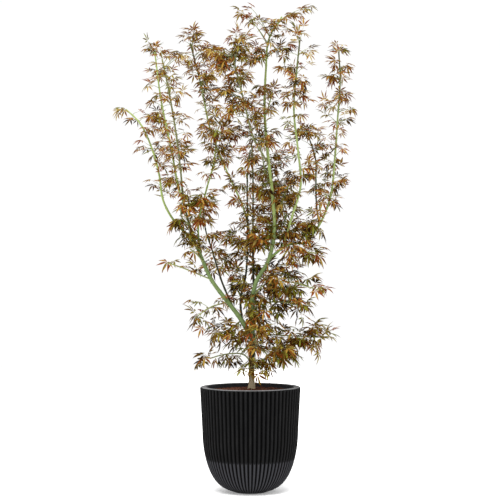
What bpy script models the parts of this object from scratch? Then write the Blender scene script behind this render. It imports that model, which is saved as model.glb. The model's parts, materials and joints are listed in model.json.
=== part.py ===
"""Potted japanese maple: a young, many-stemmed tree in a black ribbed planter.

Metres, +Z up.  The origin is the centre of the planter's flat underside, and the
front of the crown looks along -Y.  The planter and its soil carry a short trunk,
which forks into a leader and a left bough.  Bare canes grow from these, and each
ends where it enters its foliage.  A mass of foliage is one solid: a stem, twigs
that branch from it by a seeded rule, and lobed leaves sunk into the twigs.
"""

import math
import random

import bmesh
import bpy
from mathutils import Matrix, Vector
from mathutils.bvhtree import BVHTree

CLEARANCE = 0.00035  # between pieces that touch on the real plant

# Planter
POT_HEIGHT = 0.3765
RIM_RADIUS = 0.1805
BOWL_HEIGHT = 0.217  # up to here the wall curves, above it is nearly straight
BOWL_RADIUS = 0.172
BOWL_DRAW_IN = 0.0095
BOWL_ROUNDNESS = 1.87
BOWL_SQUARENESS = 3.77
BASE_RADIUS = 0.056
RIM_ROUNDING = 0.008
RIBS = 68
RIB_DEPTH = 0.0030
BORE = [(0.020, 0.070), (0.100, 0.130), (POT_HEIGHT, 0.1515)]  # heights and radii

# Soil
SOIL_TOP = 0.3620
SOIL_RISE = 0.0030  # mounded by this much at the trunk
SOIL_SEGMENTS = 34

# Trunk foot
FLARE = 0.0055  # added to the radius at the soil
FLARE_HEIGHT = 0.014

# Name: what it springs from, the height of its foot, the points it passes through,
# and its diameters at foot and tip.  A stem without its own limb belongs to a mass.
STEMS = {
    "trunk": (None, SOIL_TOP, [(0.005, 0, 0.465), (0.010, 0, 0.565)], 0.0205, 0.0195),
    "leader": ("trunk", 0.555, [
        (0.005, -0.02, 0.665), (0.020, -0.04, 0.75), (0.065, -0.06, 0.83),
        (0.085, -0.08, 0.935), (0.080, -0.09, 1.045), (0.060, -0.11, 1.22),
        (0.050, -0.12, 1.36), (0.055, -0.12, 1.50), (0.065, -0.12, 1.605),
        (0.110, -0.11, 1.685)], 0.0155, 0.0050),
    "left_bough": ("trunk", 0.545, [
        (-0.035, 0, 0.62), (-0.085, 0.005, 0.685), (-0.140, 0.01, 0.76),
        (-0.180, 0.015, 0.85), (-0.215, 0.02, 0.93)], 0.0170, 0.0105),
    "left_outer": ("left_bough", 0.900, [
        (-0.265, 0, 0.96), (-0.310, -0.02, 1.04), (-0.325, -0.03, 1.135),
        (-0.350, -0.02, 1.225), (-0.395, 0, 1.32), (-0.445, 0.02, 1.37)], 0.0080, 0.0048),
    "left_second": ("left_bough", 0.918, [
        (-0.235, 0.06, 1.01), (-0.265, 0.10, 1.11), (-0.290, 0.15, 1.235),
        (-0.330, 0.19, 1.42), (-0.355, 0.22, 1.60)], 0.0075, 0.0048),
    "left_third": ("left_bough", 0.880, [
        (-0.235, -0.05, 1.025), (-0.245, -0.11, 1.145), (-0.260, -0.16, 1.28),
        (-0.285, -0.19, 1.43), (-0.305, -0.20, 1.525)], 0.0070, 0.0048),
    "left_inner": ("left_bough", 0.850, [
        (-0.185, -0.03, 0.955), (-0.155, -0.08, 1.08), (-0.130, -0.11, 1.165),
        (-0.115, -0.13, 1.285)], 0.0065, 0.0048),
    "left_back": ("left_bough", 0.650, [
        (-0.105, 0.09, 0.755), (-0.140, 0.15, 0.865), (-0.165, 0.18, 0.94),
        (-0.175, 0.20, 1.035)], 0.0075, 0.0040),
    "centre_thin": ("left_bough", 0.610, [
        (-0.035, 0.02, 0.685), (-0.015, 0.05, 0.785), (-0.010, 0.08, 0.94),
        (-0.010, 0.10, 1.14), (0, 0.10, 1.23)], 0.0075, 0.0048),
    "centre_back": ("leader", 0.725, [
        (0.010, 0.07, 0.83), (0.010, 0.17, 1.015), (0.010, 0.22, 1.145),
        (0.005, 0.25, 1.26)], 0.0085, 0.0040),
    "centre_left": ("centre_back", 0.870, [
        (-0.025, 0.17, 1.02), (-0.090, 0.21, 1.165), (-0.150, 0.24, 1.32),
        (-0.185, 0.26, 1.485), (-0.225, 0.27, 1.64)], 0.0070, 0.0048),
    "centre_front": ("leader", 1.165, [
        (0.010, -0.17, 1.26), (-0.015, -0.22, 1.35), (-0.035, -0.25, 1.43),
        (-0.065, -0.26, 1.545)], 0.0060, 0.0048),
    "right_bough": ("leader", 0.835, [
        (0.135, -0.06, 0.885), (0.200, -0.04, 0.89)], 0.0090, 0.0080),
    "right_inner": ("right_bough", 0.874, [
        (0.145, -0.12, 0.98), (0.175, -0.18, 1.09), (0.165, -0.21, 1.21),
        (0.150, -0.23, 1.35), (0.160, -0.24, 1.485), (0.170, -0.25, 1.585)], 0.0075, 0.0048),
    "right_outer": ("right_bough", 0.890, [
        (0.255, 0, 0.97), (0.290, 0.02, 1.065), (0.305, 0.03, 1.20),
        (0.315, 0.04, 1.335), (0.325, 0.05, 1.48), (0.320, 0.05, 1.58)], 0.0078, 0.0048),
    "right_back": ("right_outer", 0.955, [
        (0.240, 0.06, 1.03), (0.240, 0.12, 1.12), (0.240, 0.17, 1.205),
        (0.205, 0.22, 1.32)], 0.0060, 0.0048),
}

# Height at which a cane enters its foliage; None keeps the limb whole.
LIMBS = {
    "trunk": None, "leader": 1.53, "left_bough": None, "left_outer": 1.03,
    "left_second": 1.08, "left_third": 1.12, "left_inner": 0.99, "left_back": 0.82,
    "centre_thin": 0.70, "centre_back": 0.99, "centre_left": 1.28, "centre_front": 1.22,
    "right_bough": None, "right_inner": 1.06, "right_outer": 1.05, "right_back": 1.05,
}

# Foliage on the upper part of a cane: the cane, the heights between which the mass
# reaches (None is the tip), and its sprays.  A spray is its place along the mass's
# stem from 0 to 1, its shift sideways and upwards from there, and half its width
# and half its height.
CANE_FOLIAGE = {
    "left_outer": ("left_outer", 1.03, None, [
        (0.11, 0.005, 0, 0.030, 0.025), (0.35, 0, 0, 0.030, 0.035),
        (0.58, -0.040, -0.015, 0.025, 0.025), (0.72, 0.015, 0.005, 0.030, 0.030),
        (0.98, -0.005, 0.010, 0.050, 0.030)]),
    "left_second": ("left_second", 1.08, None, [
        (0.11, -0.020, -0.005, 0.035, 0.030), (0.32, -0.025, -0.005, 0.035, 0.030),
        (0.47, -0.005, 0.005, 0.020, 0.020), (0.68, 0.005, 0, 0.045, 0.030),
        (0.85, 0.005, 0, 0.035, 0.035), (0.99, -0.005, 0.020, 0.045, 0.035)]),
    "left_third": ("left_third", 1.12, None, [
        (0.22, 0.020, 0.005, 0.040, 0.030), (0.54, 0.015, 0, 0.030, 0.025),
        (0.70, 0.050, 0.010, 0.020, 0.015), (0.85, 0.020, 0.005, 0.030, 0.030),
        (0.99, 0.050, 0.010, 0.055, 0.030)]),
    "left_back": ("left_back", 0.82, None, [
        (0.10, 0, 0, 0.055, 0.055), (0.55, 0.015, 0.005, 0.050, 0.050),
        (0.98, 0.010, 0, 0.035, 0.035)]),
    "left_inner": ("left_inner", 0.99, None, [
        (0.15, 0.010, -0.005, 0.045, 0.045), (0.52, 0, 0, 0.025, 0.020),
        (0.69, 0.020, 0, 0.070, 0.025), (0.84, -0.005, 0, 0.055, 0.025),
        (0.98, 0.010, 0, 0.070, 0.025)]),
    "centre_left_mid": ("centre_left", 1.28, 1.44, [
        (0.35, -0.005, 0, 0.035, 0.040), (0.85, 0.035, 0, 0.040, 0.040)]),
    "centre_left_top": ("centre_left", 1.44, None, [
        (0.24, 0.025, 0.005, 0.050, 0.055), (0.55, 0.010, 0.005, 0.040, 0.035),
        (0.78, 0.065, 0.015, 0.040, 0.040),
        (0.99, 0.010, 0.020, 0.040, 0.040)]),
    "centre_thin_low": ("centre_thin", 0.70, 0.92, [
        (0.10, -0.025, -0.025, 0.020, 0.020), (0.36, -0.035, 0.005, 0.040, 0.045),
        (0.91, -0.065, 0, 0.045, 0.040)]),
    "centre_thin_top": ("centre_thin", 0.92, None, [
        (0.38, 0.010, -0.005, 0.045, 0.050), (0.87, 0.005, 0, 0.035, 0.040)]),
    "centre_back": ("centre_back", 0.99, None, [
        (0.10, 0.050, 0, 0.035, 0.050), (0.86, -0.005, 0, 0.040, 0.055)]),
    "centre_front_low": ("centre_front", 1.22, 1.40, [
        (0.74, 0.020, 0.005, 0.035, 0.045), (0.95, -0.055, 0.005, 0.045, 0.030)]),
    "centre_front_top": ("centre_front", 1.40, None, [
        (0.42, -0.010, -0.005, 0.050, 0.035), (0.97, -0.050, 0.015, 0.045, 0.050),
        (0.97, 0.030, 0.010, 0.045, 0.050)]),
    "leader_top": ("leader", 1.53, None, [
        (0.25, 0.050, 0, 0.065, 0.035), (0.25, -0.045, 0, 0.030, 0.045),
        (0.55, -0.080, 0.085, 0.045, 0.045), (0.62, 0.020, 0.010, 0.055, 0.035),
        (0.97, 0.035, 0.025, 0.065, 0.035)]),
    "right_inner_low": ("right_inner", 1.06, 1.30, [
        (0.32, -0.010, 0, 0.045, 0.050), (0.72, -0.015, 0, 0.040, 0.025)]),
    "right_inner_mid": ("right_inner", 1.30, 1.48, [
        (0.39, -0.015, 0, 0.025, 0.025), (0.43, 0.030, 0, 0.020, 0.020),
        (0.84, 0.005, 0, 0.045, 0.035)]),
    "right_inner_top": ("right_inner", 1.48, None, [
        (0.20, 0, 0, 0.030, 0.020), (0.10, -0.040, 0, 0.025, 0.015),
        (0.69, 0.030, -0.005, 0.020, 0.025), (0.99, 0, 0.020, 0.035, 0.030)]),
    "right_outer_mid": ("right_outer", 1.05, 1.26, [
        (0.39, 0.010, -0.005, 0.050, 0.065), (0.84, -0.005, 0, 0.030, 0.015)]),
    "right_outer_top": ("right_outer", 1.26, None, [
        (0.06, 0.005, 0, 0.045, 0.015), (0.24, 0.015, 0, 0.030, 0.025),
        (0.40, -0.055, 0, 0.025, 0.020), (0.36, 0.045, 0, 0.015, 0.020),
        (0.51, 0.015, 0, 0.030, 0.025), (0.72, -0.025, 0, 0.030, 0.040),
        (0.80, 0.025, 0, 0.030, 0.045), (0.99, 0.010, 0.015, 0.035, 0.020)]),
    "right_back": ("right_back", 1.05, None, [
        (0.30, 0, 0, 0.050, 0.065), (0.72, 0.010, 0.005, 0.030, 0.030),
        (0.98, -0.005, -0.005, 0.055, 0.040)]),
}

# Foliage on a side stem of its own: what it springs from, the height of its foot,
# the points the stem passes through, and its sprays.
SIDE_FOLIAGE = {
    "left_wisp": ("left_bough", 0.76, [
        (-0.200, 0, 0.785), (-0.250, -0.01, 0.805), (-0.295, -0.02, 0.82)], [
        (0.61, 0, 0, 0.030, 0.025), (0.96, 0, 0, 0.025, 0.025)]),
    "left_elbow": ("left_bough", 0.82, [(-0.190, -0.015, 0.85), (-0.215, -0.03, 0.87)], [
        (0.79, 0, -0.005, 0.030, 0.040)]),
    "left_low_outer": ("left_bough", 0.68, [(-0.145, -0.03, 0.66), (-0.195, -0.05, 0.625)], [
        (0.53, 0.020, -0.035, 0.030, 0.035), (0.99, 0.010, -0.015, 0.030, 0.045)]),
    "left_low_inner": ("left_bough", 0.615, [(-0.065, 0.03, 0.585), (-0.120, 0.04, 0.56)], [
        (0.36, 0.020, -0.020, 0.035, 0.030), (0.93, 0.005, -0.010, 0.035, 0.035)]),
    "left_skirt": ("trunk", 0.460, [
        (-0.025, 0.02, 0.49), (-0.090, 0.03, 0.49), (-0.190, 0.03, 0.46)], [
        (0.56, 0.005, -0.015, 0.050, 0.030), (0.98, 0, 0, 0.045, 0.040)]),
    "front_skirt": ("trunk", 0.475, [(0.015, -0.05, 0.48), (0.020, -0.09, 0.445)], [
        (0.95, -0.005, -0.010, 0.055, 0.035)]),
    "right_skirt": ("trunk", 0.500, [(0.040, -0.03, 0.51), (0.080, -0.05, 0.47)], [
        (0.95, -0.005, -0.005, 0.050, 0.040)]),
    "front_knot": ("trunk", 0.530, [(0.015, -0.06, 0.55), (0.020, -0.11, 0.53)], [
        (0.95, -0.005, 0, 0.055, 0.040)]),
    "back_skirt": ("trunk", 0.515, [(0.005, 0.07, 0.53), (-0.005, 0.15, 0.50)], [
        (0.95, 0.005, -0.005, 0.050, 0.040)]),
    "right_shelf_low": ("trunk", 0.545, [
        (0.070, 0.02, 0.560), (0.165, 0.04, 0.555), (0.280, 0.05, 0.550)], [
        (0.33, 0, -0.010, 0.055, 0.055), (0.70, -0.005, -0.020, 0.060, 0.055),
        (0.98, 0.010, 0.010, 0.050, 0.035)]),
    "right_shelf_mid": ("leader", 0.655, [
        (0.070, -0.03, 0.68), (0.150, -0.04, 0.675), (0.240, -0.04, 0.645)], [
        (0.10, -0.010, -0.035, 0.040, 0.040), (0.42, 0, -0.015, 0.050, 0.050),
        (0.72, 0, 0, 0.045, 0.055), (0.98, 0.010, 0.010, 0.040, 0.025)]),
    "right_shelf_top": ("leader", 0.700, [
        (0.055, -0.05, 0.745), (0.125, -0.07, 0.755), (0.225, -0.08, 0.730)], [
        (0.33, 0, -0.005, 0.045, 0.040), (0.66, 0.005, 0.005, 0.045, 0.045),
        (0.97, 0.015, 0.005, 0.045, 0.035)]),
    "right_orange": ("right_bough", 0.888, [(0.175, -0.09, 0.865), (0.230, -0.11, 0.855)], [
        (0.40, -0.010, -0.010, 0.040, 0.040), (0.95, 0, 0.005, 0.040, 0.040)]),
    "right_heart": ("right_inner", 0.925, [(0.160, -0.05, 0.945), (0.190, -0.03, 0.965)], [
        (0.61, 0.025, -0.030, 0.045, 0.025), (0.84, -0.015, 0.015, 0.025, 0.030)]),
    "right_cane_foot": ("right_outer", 0.95, [(0.250, -0.04, 0.995), (0.245, -0.06, 1.035)], [
        (0.30, -0.010, 0.005, 0.040, 0.025), (0.79, 0, 0, 0.035, 0.040)]),
    "left_heart": ("left_third", 0.955, [(-0.245, -0.05, 0.985), (-0.245, -0.07, 1.03)], [
        (0.30, 0, 0, 0.030, 0.030), (0.96, 0.005, 0, 0.045, 0.040)]),
    "leader_low_left": ("leader", 0.86, [(0.040, -0.05, 0.90), (0.020, -0.04, 0.95)], [
        (0.57, -0.010, -0.005, 0.045, 0.045), (0.98, -0.020, 0.010, 0.045, 0.040)]),
    "leader_low_right": ("leader", 0.90, [(0.115, -0.06, 0.945), (0.130, -0.05, 1.00)], [
        (0.35, 0.025, -0.015, 0.045, 0.045), (0.93, 0, 0, 0.045, 0.045)]),
    "leader_mid_right": ("leader", 1.00, [(0.110, -0.09, 1.03), (0.125, -0.09, 1.07)], [
        (0.79, -0.005, 0, 0.040, 0.040)]),
    "leader_mid": ("leader", 1.09, [
        (0.055, -0.06, 1.13), (0.045, -0.05, 1.185), (0.030, -0.05, 1.255)], [
        (0.34, 0.010, 0, 0.065, 0.045), (0.93, 0.010, 0, 0.060, 0.055)]),
    "leader_high": ("leader", 1.335, [(0.065, -0.15, 1.37), (0.075, -0.16, 1.415)], [
        (0.38, 0, 0, 0.020, 0.035), (0.98, -0.005, 0.005, 0.045, 0.025)]),
}
SIDE_STEM_FOOT = 0.0052
SIDE_STEM_TIP = 0.0038

# Twigs
SQUARE_END = 0.004  # straight length at each end of a limb
LIMB_STEP = 0.070  # between a limb's rings
TRUNK_STEP = 0.020
STEM_STEP = 0.075
STEM_SIDES = 4
TWIG_FOOT = 0.0007
TWIG_THICKENING = 0.004  # added to the foot radius for each metre of length
TWIG_TIP = 0.0008
TWIG_MIN = 0.020
TWIG_LEAN = 0.45  # a twig leaves its stem this share of its own length further down
TRIES = 18
FUSE_SOLVER = "MANIFOLD"

# Leaves.  Each corner of a leaf, from one side of its root round to the other, is its
# angle from the middle lobe and its reach as a share of that lobe.
LOBES = [(-72, 0.82), (-36, 0.52), (0, 1.0), (36, 0.52), (72, 0.82)]
LEAF_SMALL = 0.036
LEAF_LARGE = 0.085
LEAF_FILL = 1.30  # a leaf's reach as a share of its spray's half width
LEAF_THICKNESS = 0.0018
LEAF_DROOP = 0.18  # how far the lobe tips hang, as a share of their reach
CANE_LEAF_SHARE = 0.52  # ground that one leaf covers on a cane, in squares of its reach
SIDE_LEAF_SHARE = 0.43  # and on a side stem, where leaves crowd closer
LEAF_HANG = 0.15  # how strongly a leaf turns down
LEAF_TILT = 0.8  # how strongly its face turns to the side
LEAF_UP = 0.35  # and how strongly it turns up
LEAVES_PER_TWIG = 5
PETIOLE = 0.012  # from a side leaf's middle to the axis of its twig
SHOULDER = 0.0020  # from the middle of a leaf to where its twig flares into it
PAIR_SETBACK = 0.030  # from a twig's tip back to its pair of side leaves
SPACE_MARGIN = 0.020  # a leaf may pass the edge of its spray by this much
SPRAY_DEPTH = 0.8  # a spray may lie this share of its half width before or behind its stem
WOOD_STEP = 0.008  # between the places on a stem or twig where a twig may start
LEAF_GAP = 0.0007  # kept clear round a leaf
TWIG_GAP = 0.0006  # kept clear round a twig
TWIG_CLEAR = 0.006  # a twig's foot inside its stem, which isn't tested
BARE_FOOT = 0.010  # a side stem has no twigs this close to the limb that it springs from

BARK_BROWN = (0.23, 0.17, 0.10)
BOUGH_GREEN = (0.17, 0.21, 0.09)
CANE_GREEN = (0.30, 0.36, 0.13)
DARK_CANE = (0.06, 0.06, 0.035)
LEAF_RUST = (0.30, 0.14, 0.06)
POT_BLACK = (0.012, 0.012, 0.013)
SOIL_BROWN = (0.06, 0.035, 0.022)
LIMB_COLOURS = {
    "trunk": BARK_BROWN, "leader": BOUGH_GREEN, "left_bough": BOUGH_GREEN,
    "left_back": DARK_CANE, "centre_thin": DARK_CANE, "centre_back": DARK_CANE,
    "right_back": DARK_CANE}


def clear_scene():
    for obj in list(bpy.data.objects):
        bpy.data.objects.remove(obj, do_unlink=True)


def new_collection(name):
    made = bpy.data.collections.new(name)
    bpy.context.scene.collection.children.link(made)
    return made


def paint(obj, colour, roughness):
    mat = bpy.data.materials.new(obj.name)
    mat.use_nodes = True
    shader = mat.node_tree.nodes["Principled BSDF"]
    shader.inputs["Base Color"].default_value = (*colour, 1)
    shader.inputs["Roughness"].default_value = roughness
    shader.inputs["Metallic"].default_value = 0.0
    obj.data.materials.clear()
    obj.data.materials.append(mat)


def mesh_object(name, bm, collection):
    """A new object that holds a bmesh."""
    mesh = bpy.data.meshes.new(name)
    bm.to_mesh(mesh)
    bm.free()
    obj = bpy.data.objects.new(name, mesh)
    collection.objects.link(obj)
    return obj


def as_mesh(obj, name, collection):
    """The evaluated shape of a curve or of an object with modifiers, as a plain mesh."""
    graph = bpy.context.evaluated_depsgraph_get()
    mesh = bpy.data.meshes.new_from_object(obj.evaluated_get(graph))
    made = bpy.data.objects.new(name, mesh)
    made.matrix_world = obj.matrix_world
    collection.objects.link(made)
    bpy.data.objects.remove(obj, do_unlink=True)
    made.name = name
    return made


# ---------------------------------------------------------------- planter and soil

def pot_radius(z):
    """Outer radius of the planter at the crests of its ribs."""
    if z >= BOWL_HEIGHT:
        share = (z - BOWL_HEIGHT) / (POT_HEIGHT - BOWL_HEIGHT)
        return BOWL_RADIUS + (RIM_RADIUS - BOWL_RADIUS) * share
    curve = 1 - (1 - z / BOWL_HEIGHT) ** BOWL_ROUNDNESS
    return (BOWL_RADIUS + BOWL_DRAW_IN) * curve ** (1 / BOWL_SQUARENESS) - BOWL_DRAW_IN


def bore_radius(z):
    """Inner radius of the planter, which is straight between the heights in BORE."""
    for (low, narrow), (high, wide) in zip(BORE, BORE[1:]):
        if z <= high:
            break
    return narrow + (wide - narrow) * (z - low) / (high - low)


def turned(name, profile, steps, collection):
    """A profile of (radius, height) turned about the Z axis."""
    bm = bmesh.new()
    line = [bm.verts.new((r, 0, z)) for r, z in profile]
    for a, b in zip(line, line[1:]):
        bm.edges.new((a, b))
    obj = mesh_object(name, bm, collection)
    screw = obj.modifiers.new("turn", "SCREW")
    screw.axis = "Z"
    screw.steps = steps
    screw.render_steps = steps
    screw.use_merge_vertices = True
    screw.merge_threshold = 0.00005
    return as_mesh(obj, name, collection)


def make_planter(collection):
    profile = [(0, BORE[0][0])] + [(radius, z) for z, radius in BORE]
    profile += [(RIM_RADIUS - RIM_ROUNDING, POT_HEIGHT)]
    profile += [(RIM_RADIUS - 0.3 * RIM_ROUNDING, POT_HEIGHT - 0.3 * RIM_ROUNDING)]
    lip = POT_HEIGHT - RIM_ROUNDING
    ribbed_heights = [lip - 0.004, BOWL_HEIGHT, 0.145, 0.085, 0.042, 0.014]
    profile += [(pot_radius(z), z) for z in [lip] + ribbed_heights]
    profile += [(BASE_RADIUS, 0), (0, 0)]
    obj = turned("planter", profile, RIBS, collection)
    bm = bmesh.new()
    bm.from_mesh(obj.data)

    def on_ribbed_ring(vert):
        radius = math.hypot(vert.co.x, vert.co.y)
        return any(
            abs(vert.co.z - z) < 1e-4 and abs(radius - pot_radius(z)) < 1e-4
            for z in ribbed_heights)

    level = [
        e for e in bm.edges
        if abs(e.verts[0].co.z - e.verts[1].co.z) < 1e-5 and all(map(on_ribbed_ring, e.verts))]
    cut = bmesh.ops.subdivide_edges(bm, edges=level, cuts=1)
    for vert in [v for v in cut["geom_inner"] if isinstance(v, bmesh.types.BMVert)]:
        radius = math.hypot(vert.co.x, vert.co.y)
        scale = (radius - RIB_DEPTH) / radius
        vert.co.x *= scale
        vert.co.y *= scale
    bmesh.ops.recalc_face_normals(bm, faces=bm.faces)
    bm.to_mesh(obj.data)
    bm.free()
    paint(obj, POT_BLACK, 0.75)
    return obj


def make_soil(collection):
    edge = SOIL_TOP - SOIL_RISE
    bottom = BORE[0][0] + CLEARANCE
    profile = [(0, SOIL_TOP), (0.035, SOIL_TOP), (0.09, SOIL_TOP - 0.5 * SOIL_RISE)]
    profile += [(bore_radius(z) - 2 * CLEARANCE, z) for z in (edge, BORE[1][0], bottom)]
    profile += [(0, bottom)]
    obj = turned("soil", profile, SOIL_SEGMENTS, collection)
    paint(obj, SOIL_BROWN, 0.95)
    return obj


# ------------------------------------------------------------------ paths and tubes

def curve_point(before, start, end, after, share):
    """A point of the centripetal Catmull-Rom curve from start to end."""
    t0 = 0.0
    t1 = t0 + math.sqrt((start - before).length)
    t2 = t1 + math.sqrt((end - start).length)
    t3 = t2 + math.sqrt((after - end).length)
    t = t1 + (t2 - t1) * share

    def mix(a, b, ta, tb):
        return a * ((tb - t) / (tb - ta)) + b * ((t - ta) / (tb - ta))

    first, second, third = mix(before, start, t0, t1), mix(start, end, t1, t2), mix(end, after, t2, t3)
    return mix(mix(first, second, t0, t2), mix(second, third, t1, t3), t1, t2)


class Path:
    """The centre line of a stem, which tapers from its foot to its tip."""

    def __init__(self, points, foot_diameter, tip_diameter, flared=False):
        ends = [points[0] * 2 - points[1]], [points[-1] * 2 - points[-2]]
        row = ends[0] + points + ends[1]
        self.points = [points[0]]
        for i in range(1, len(row) - 2):
            for k in range(1, 13):
                self.points.append(curve_point(*row[i - 1:i + 3], k / 12))
        self.along = [0.0]
        for a, b in zip(self.points, self.points[1:]):
            self.along.append(self.along[-1] + (b - a).length)
        self.length = self.along[-1]
        self.diameters = foot_diameter, tip_diameter
        self.flared = flared

    def at(self, share):
        distance = min(max(share, 0), 1) * self.length
        for i in range(len(self.along) - 2):
            if self.along[i + 1] >= distance:
                break
        step = self.along[i + 1] - self.along[i]
        return self.points[i].lerp(self.points[i + 1], (distance - self.along[i]) / step)

    def tangent(self, share):
        return (self.at(share + 0.004) - self.at(share - 0.004)).normalized()

    def radius(self, share):
        foot, tip = self.diameters
        flare = 0.0
        if self.flared:
            flare = FLARE * math.exp(-share * self.length / FLARE_HEIGHT)
        return (foot + (tip - foot) * share) / 2 + flare

    def clears(self, point, margin):
        """Whether a point is farther than the margin from the stem's surface."""
        nearest = min((point - centre).length for centre in self.points)
        return nearest > self.diameters[0] / 2 + margin

    def share_at_height(self, z):
        for i in range(len(self.points) - 1):
            if self.points[i + 1].z >= z:
                low, high = self.points[i].z, self.points[i + 1].z
                part = max(0, (z - low) / (high - low))
                return (self.along[i] + part * (self.along[i + 1] - self.along[i])) / self.length
        return 1.0


def ring_shares(path, start, end, step, square):
    """Where along its path a tube has its rings, with a straight length at a square end."""
    count = max(1, math.ceil((end - start) * path.length / step))
    straight = SQUARE_END / path.length
    shares = [start + (end - start) * i / count for i in range(1, count)]
    return [start] + [start + straight] * square[0] + shares + [end - straight] * square[1] + [end]


def tube(name, path, start, end, step, sides, collection, grow=0.0, square=(True, True)):
    """A round limb along part of a path.  Grow makes it fatter and longer by that much."""
    shares = ring_shares(path, start, end, step, square)
    centres = [path.at(s) for s in shares]
    centres[0] = centres[0] - path.tangent(start) * grow
    centres[-1] = centres[-1] + path.tangent(end) * grow
    curve = bpy.data.curves.new(name, "CURVE")
    curve.dimensions = "3D"
    curve.bevel_depth = 1.0
    curve.bevel_resolution = sides // 2 - 2
    curve.use_fill_caps = True
    spline = curve.splines.new("POLY")
    spline.points.add(len(shares) - 1)
    for point, share, centre in zip(spline.points, shares, centres):
        point.co = (*centre, 1)
        point.radius = path.radius(share) + grow
    obj = bpy.data.objects.new(name, curve)
    collection.objects.link(obj)
    obj = as_mesh(obj, name, collection)
    bm = bmesh.new()
    bm.from_mesh(obj.data)
    bmesh.ops.remove_doubles(bm, verts=bm.verts, dist=1e-6)
    bm.to_mesh(obj.data)
    bm.free()
    return obj


def tree_of(obj):
    bm = bmesh.new()
    bm.from_mesh(obj.data)
    found = BVHTree.FromBMesh(bm)
    bm.free()
    return found


def boolean(obj, operation, collection, other=None, group=None, solver="EXACT"):
    """The object joined with a group, or cut by another object, as a plain mesh."""
    modifier = obj.modifiers.new("join", "BOOLEAN")
    modifier.operation = operation
    modifier.solver = solver
    if group:
        modifier.operand_type = "COLLECTION"
        modifier.collection = group
    else:
        modifier.object = other
    return as_mesh(obj, obj.name, collection)


def islands(bm):
    """The separate bodies of a bmesh, as lists of faces."""
    left = set(bm.faces)
    found = []
    while left:
        body = [left.pop()]
        for face in body:
            for edge in face.edges:
                for near in edge.link_faces:
                    if near in left:
                        left.remove(near)
                        body.append(near)
        found.append(body)
    return found


def keep_largest(obj):
    """Drop loose scraps, and fill hollows by dropping the walls that line them."""
    bm = bmesh.new()
    bm.from_mesh(obj.data)
    bodies = sorted(islands(bm), key=lambda faces: sum(f.calc_area() for f in faces))
    scrap = [face for body in bodies[:-1] for face in body]
    if scrap:
        bmesh.ops.delete(bm, geom=scrap, context="FACES")
    bm.to_mesh(obj.data)
    bm.free()


# ------------------------------------------------------------------ twigs and leaves

def lobe_points(frame, reach, grow=0.0):
    """The corners of a lobed blade from one side of its root round to the other."""
    points = []
    for angle, share in LOBES:
        turn = math.radians(angle)
        length = share * reach + grow
        hang = LEAF_DROOP * reach * share ** 2
        points.append(frame @ Vector((length * math.cos(turn), length * math.sin(turn), -hang)))
    return points


def leaf_shape(frame, reach, root=SHOULDER, grow=0.0):
    """A thin lobed leaf.  Its middle is the frame's origin, its tip on X."""
    bm = bmesh.new()
    bmesh.ops.create_uvsphere(bm, u_segments=len(LOBES) + 1, v_segments=2, radius=1)
    ring = [v for v in bm.verts if abs(v.co.z) < 0.5]
    ring.sort(key=lambda v: math.atan2(v.co.y, v.co.x))
    for vert in set(bm.verts) - set(ring):
        vert.co = frame @ Vector((0, 0, math.copysign(LEAF_THICKNESS / 2 + grow, vert.co.z)))
    corners = [frame @ Vector((-root - grow, 0, 0))] + lobe_points(frame, reach, grow)
    for vert, corner in zip(ring, corners):
        vert.co = corner
    return bm


def leafy_twig(foot, foot_radius, frame, reach):
    """A three-sided twig that flares into the leaf at its tip, as one closed body."""
    bm = bmesh.new()
    top = bm.verts.new(frame @ Vector((0, 0, LEAF_THICKNESS / 2)))
    bottom = bm.verts.new(frame @ Vector((0, 0, -LEAF_THICKNESS / 2)))
    sides = [frame @ Vector((-SHOULDER, side * SHOULDER, 0)) for side in (-1, 1)]
    ring = [bm.verts.new(p) for p in [sides[0]] + lobe_points(frame, reach) + [sides[1]]]
    for a, b in zip(ring, ring[1:]):
        bm.faces.new((top, a, b))
        bm.faces.new((bottom, b, a))
    along = (frame.translation - foot).normalized()
    up = (top.co - bottom.co).normalized()
    across = along.cross(up).normalized()
    up = across.cross(along)
    crest = bm.verts.new(foot + up * foot_radius)
    feet = [
        bm.verts.new(foot - up * foot_radius / 2 + across * side * foot_radius * 0.87)
        for side in (1, -1)]
    for shoulder, heel in zip((ring[0], ring[-1]), feet):
        bm.faces.new((top, shoulder, heel))
        bm.faces.new((top, heel, crest))
        bm.faces.new((bottom, shoulder, heel))
    bm.faces.new((bottom, *feet))
    bm.faces.new((crest, *feet))
    bmesh.ops.recalc_face_normals(bm, faces=bm.faces)
    return bm


def twig_shape(foot, tip, foot_radius, tip_radius):
    """A three-sided tapered twig."""
    bm = bmesh.new()
    axis = tip - foot
    turn = Vector((0, 0, 1)).rotation_difference(axis).to_matrix().to_4x4()
    place = Matrix.Translation((foot + tip) / 2) @ turn
    bmesh.ops.create_cone(
        bm, cap_ends=True, segments=3, radius1=foot_radius, radius2=tip_radius,
        depth=axis.length, matrix=place)
    return bm


def places_between(a, b):
    """Evenly spaced points from after a up to b, where twigs may start."""
    count = max(1, round((b - a).length / WOOD_STEP))
    return [a.lerp(b, (i + 1) / count) for i in range(count)]


def random_way(rng):
    """A vector of no fixed direction, at most about one long."""
    return Vector([rng.uniform(-1, 1) for _ in range(3)])


class Room:
    """The space already taken, so that each new piece keeps clear of the others."""

    def __init__(self):
        self.taken = []

    def add(self, key, bm):
        low, high = self.reach(bm)
        self.taken.append((key, low, high, BVHTree.FromBMesh(bm)))

    @staticmethod
    def reach(bm):
        points = [v.co for v in bm.verts]
        low = [min(p[i] for p in points) for i in range(3)]
        high = [max(p[i] for p in points) for i in range(3)]
        return low, high

    def meets(self, bm, skip=()):
        low, high = self.reach(bm)
        tree = None
        for key, other_low, other_high, other in self.taken:
            if key in skip:
                continue
            if any(low[i] > other_high[i] or high[i] < other_low[i] for i in range(3)):
                continue
            tree = tree or BVHTree.FromBMesh(bm)
            if tree.overlap(other):
                return True
        return False


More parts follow.
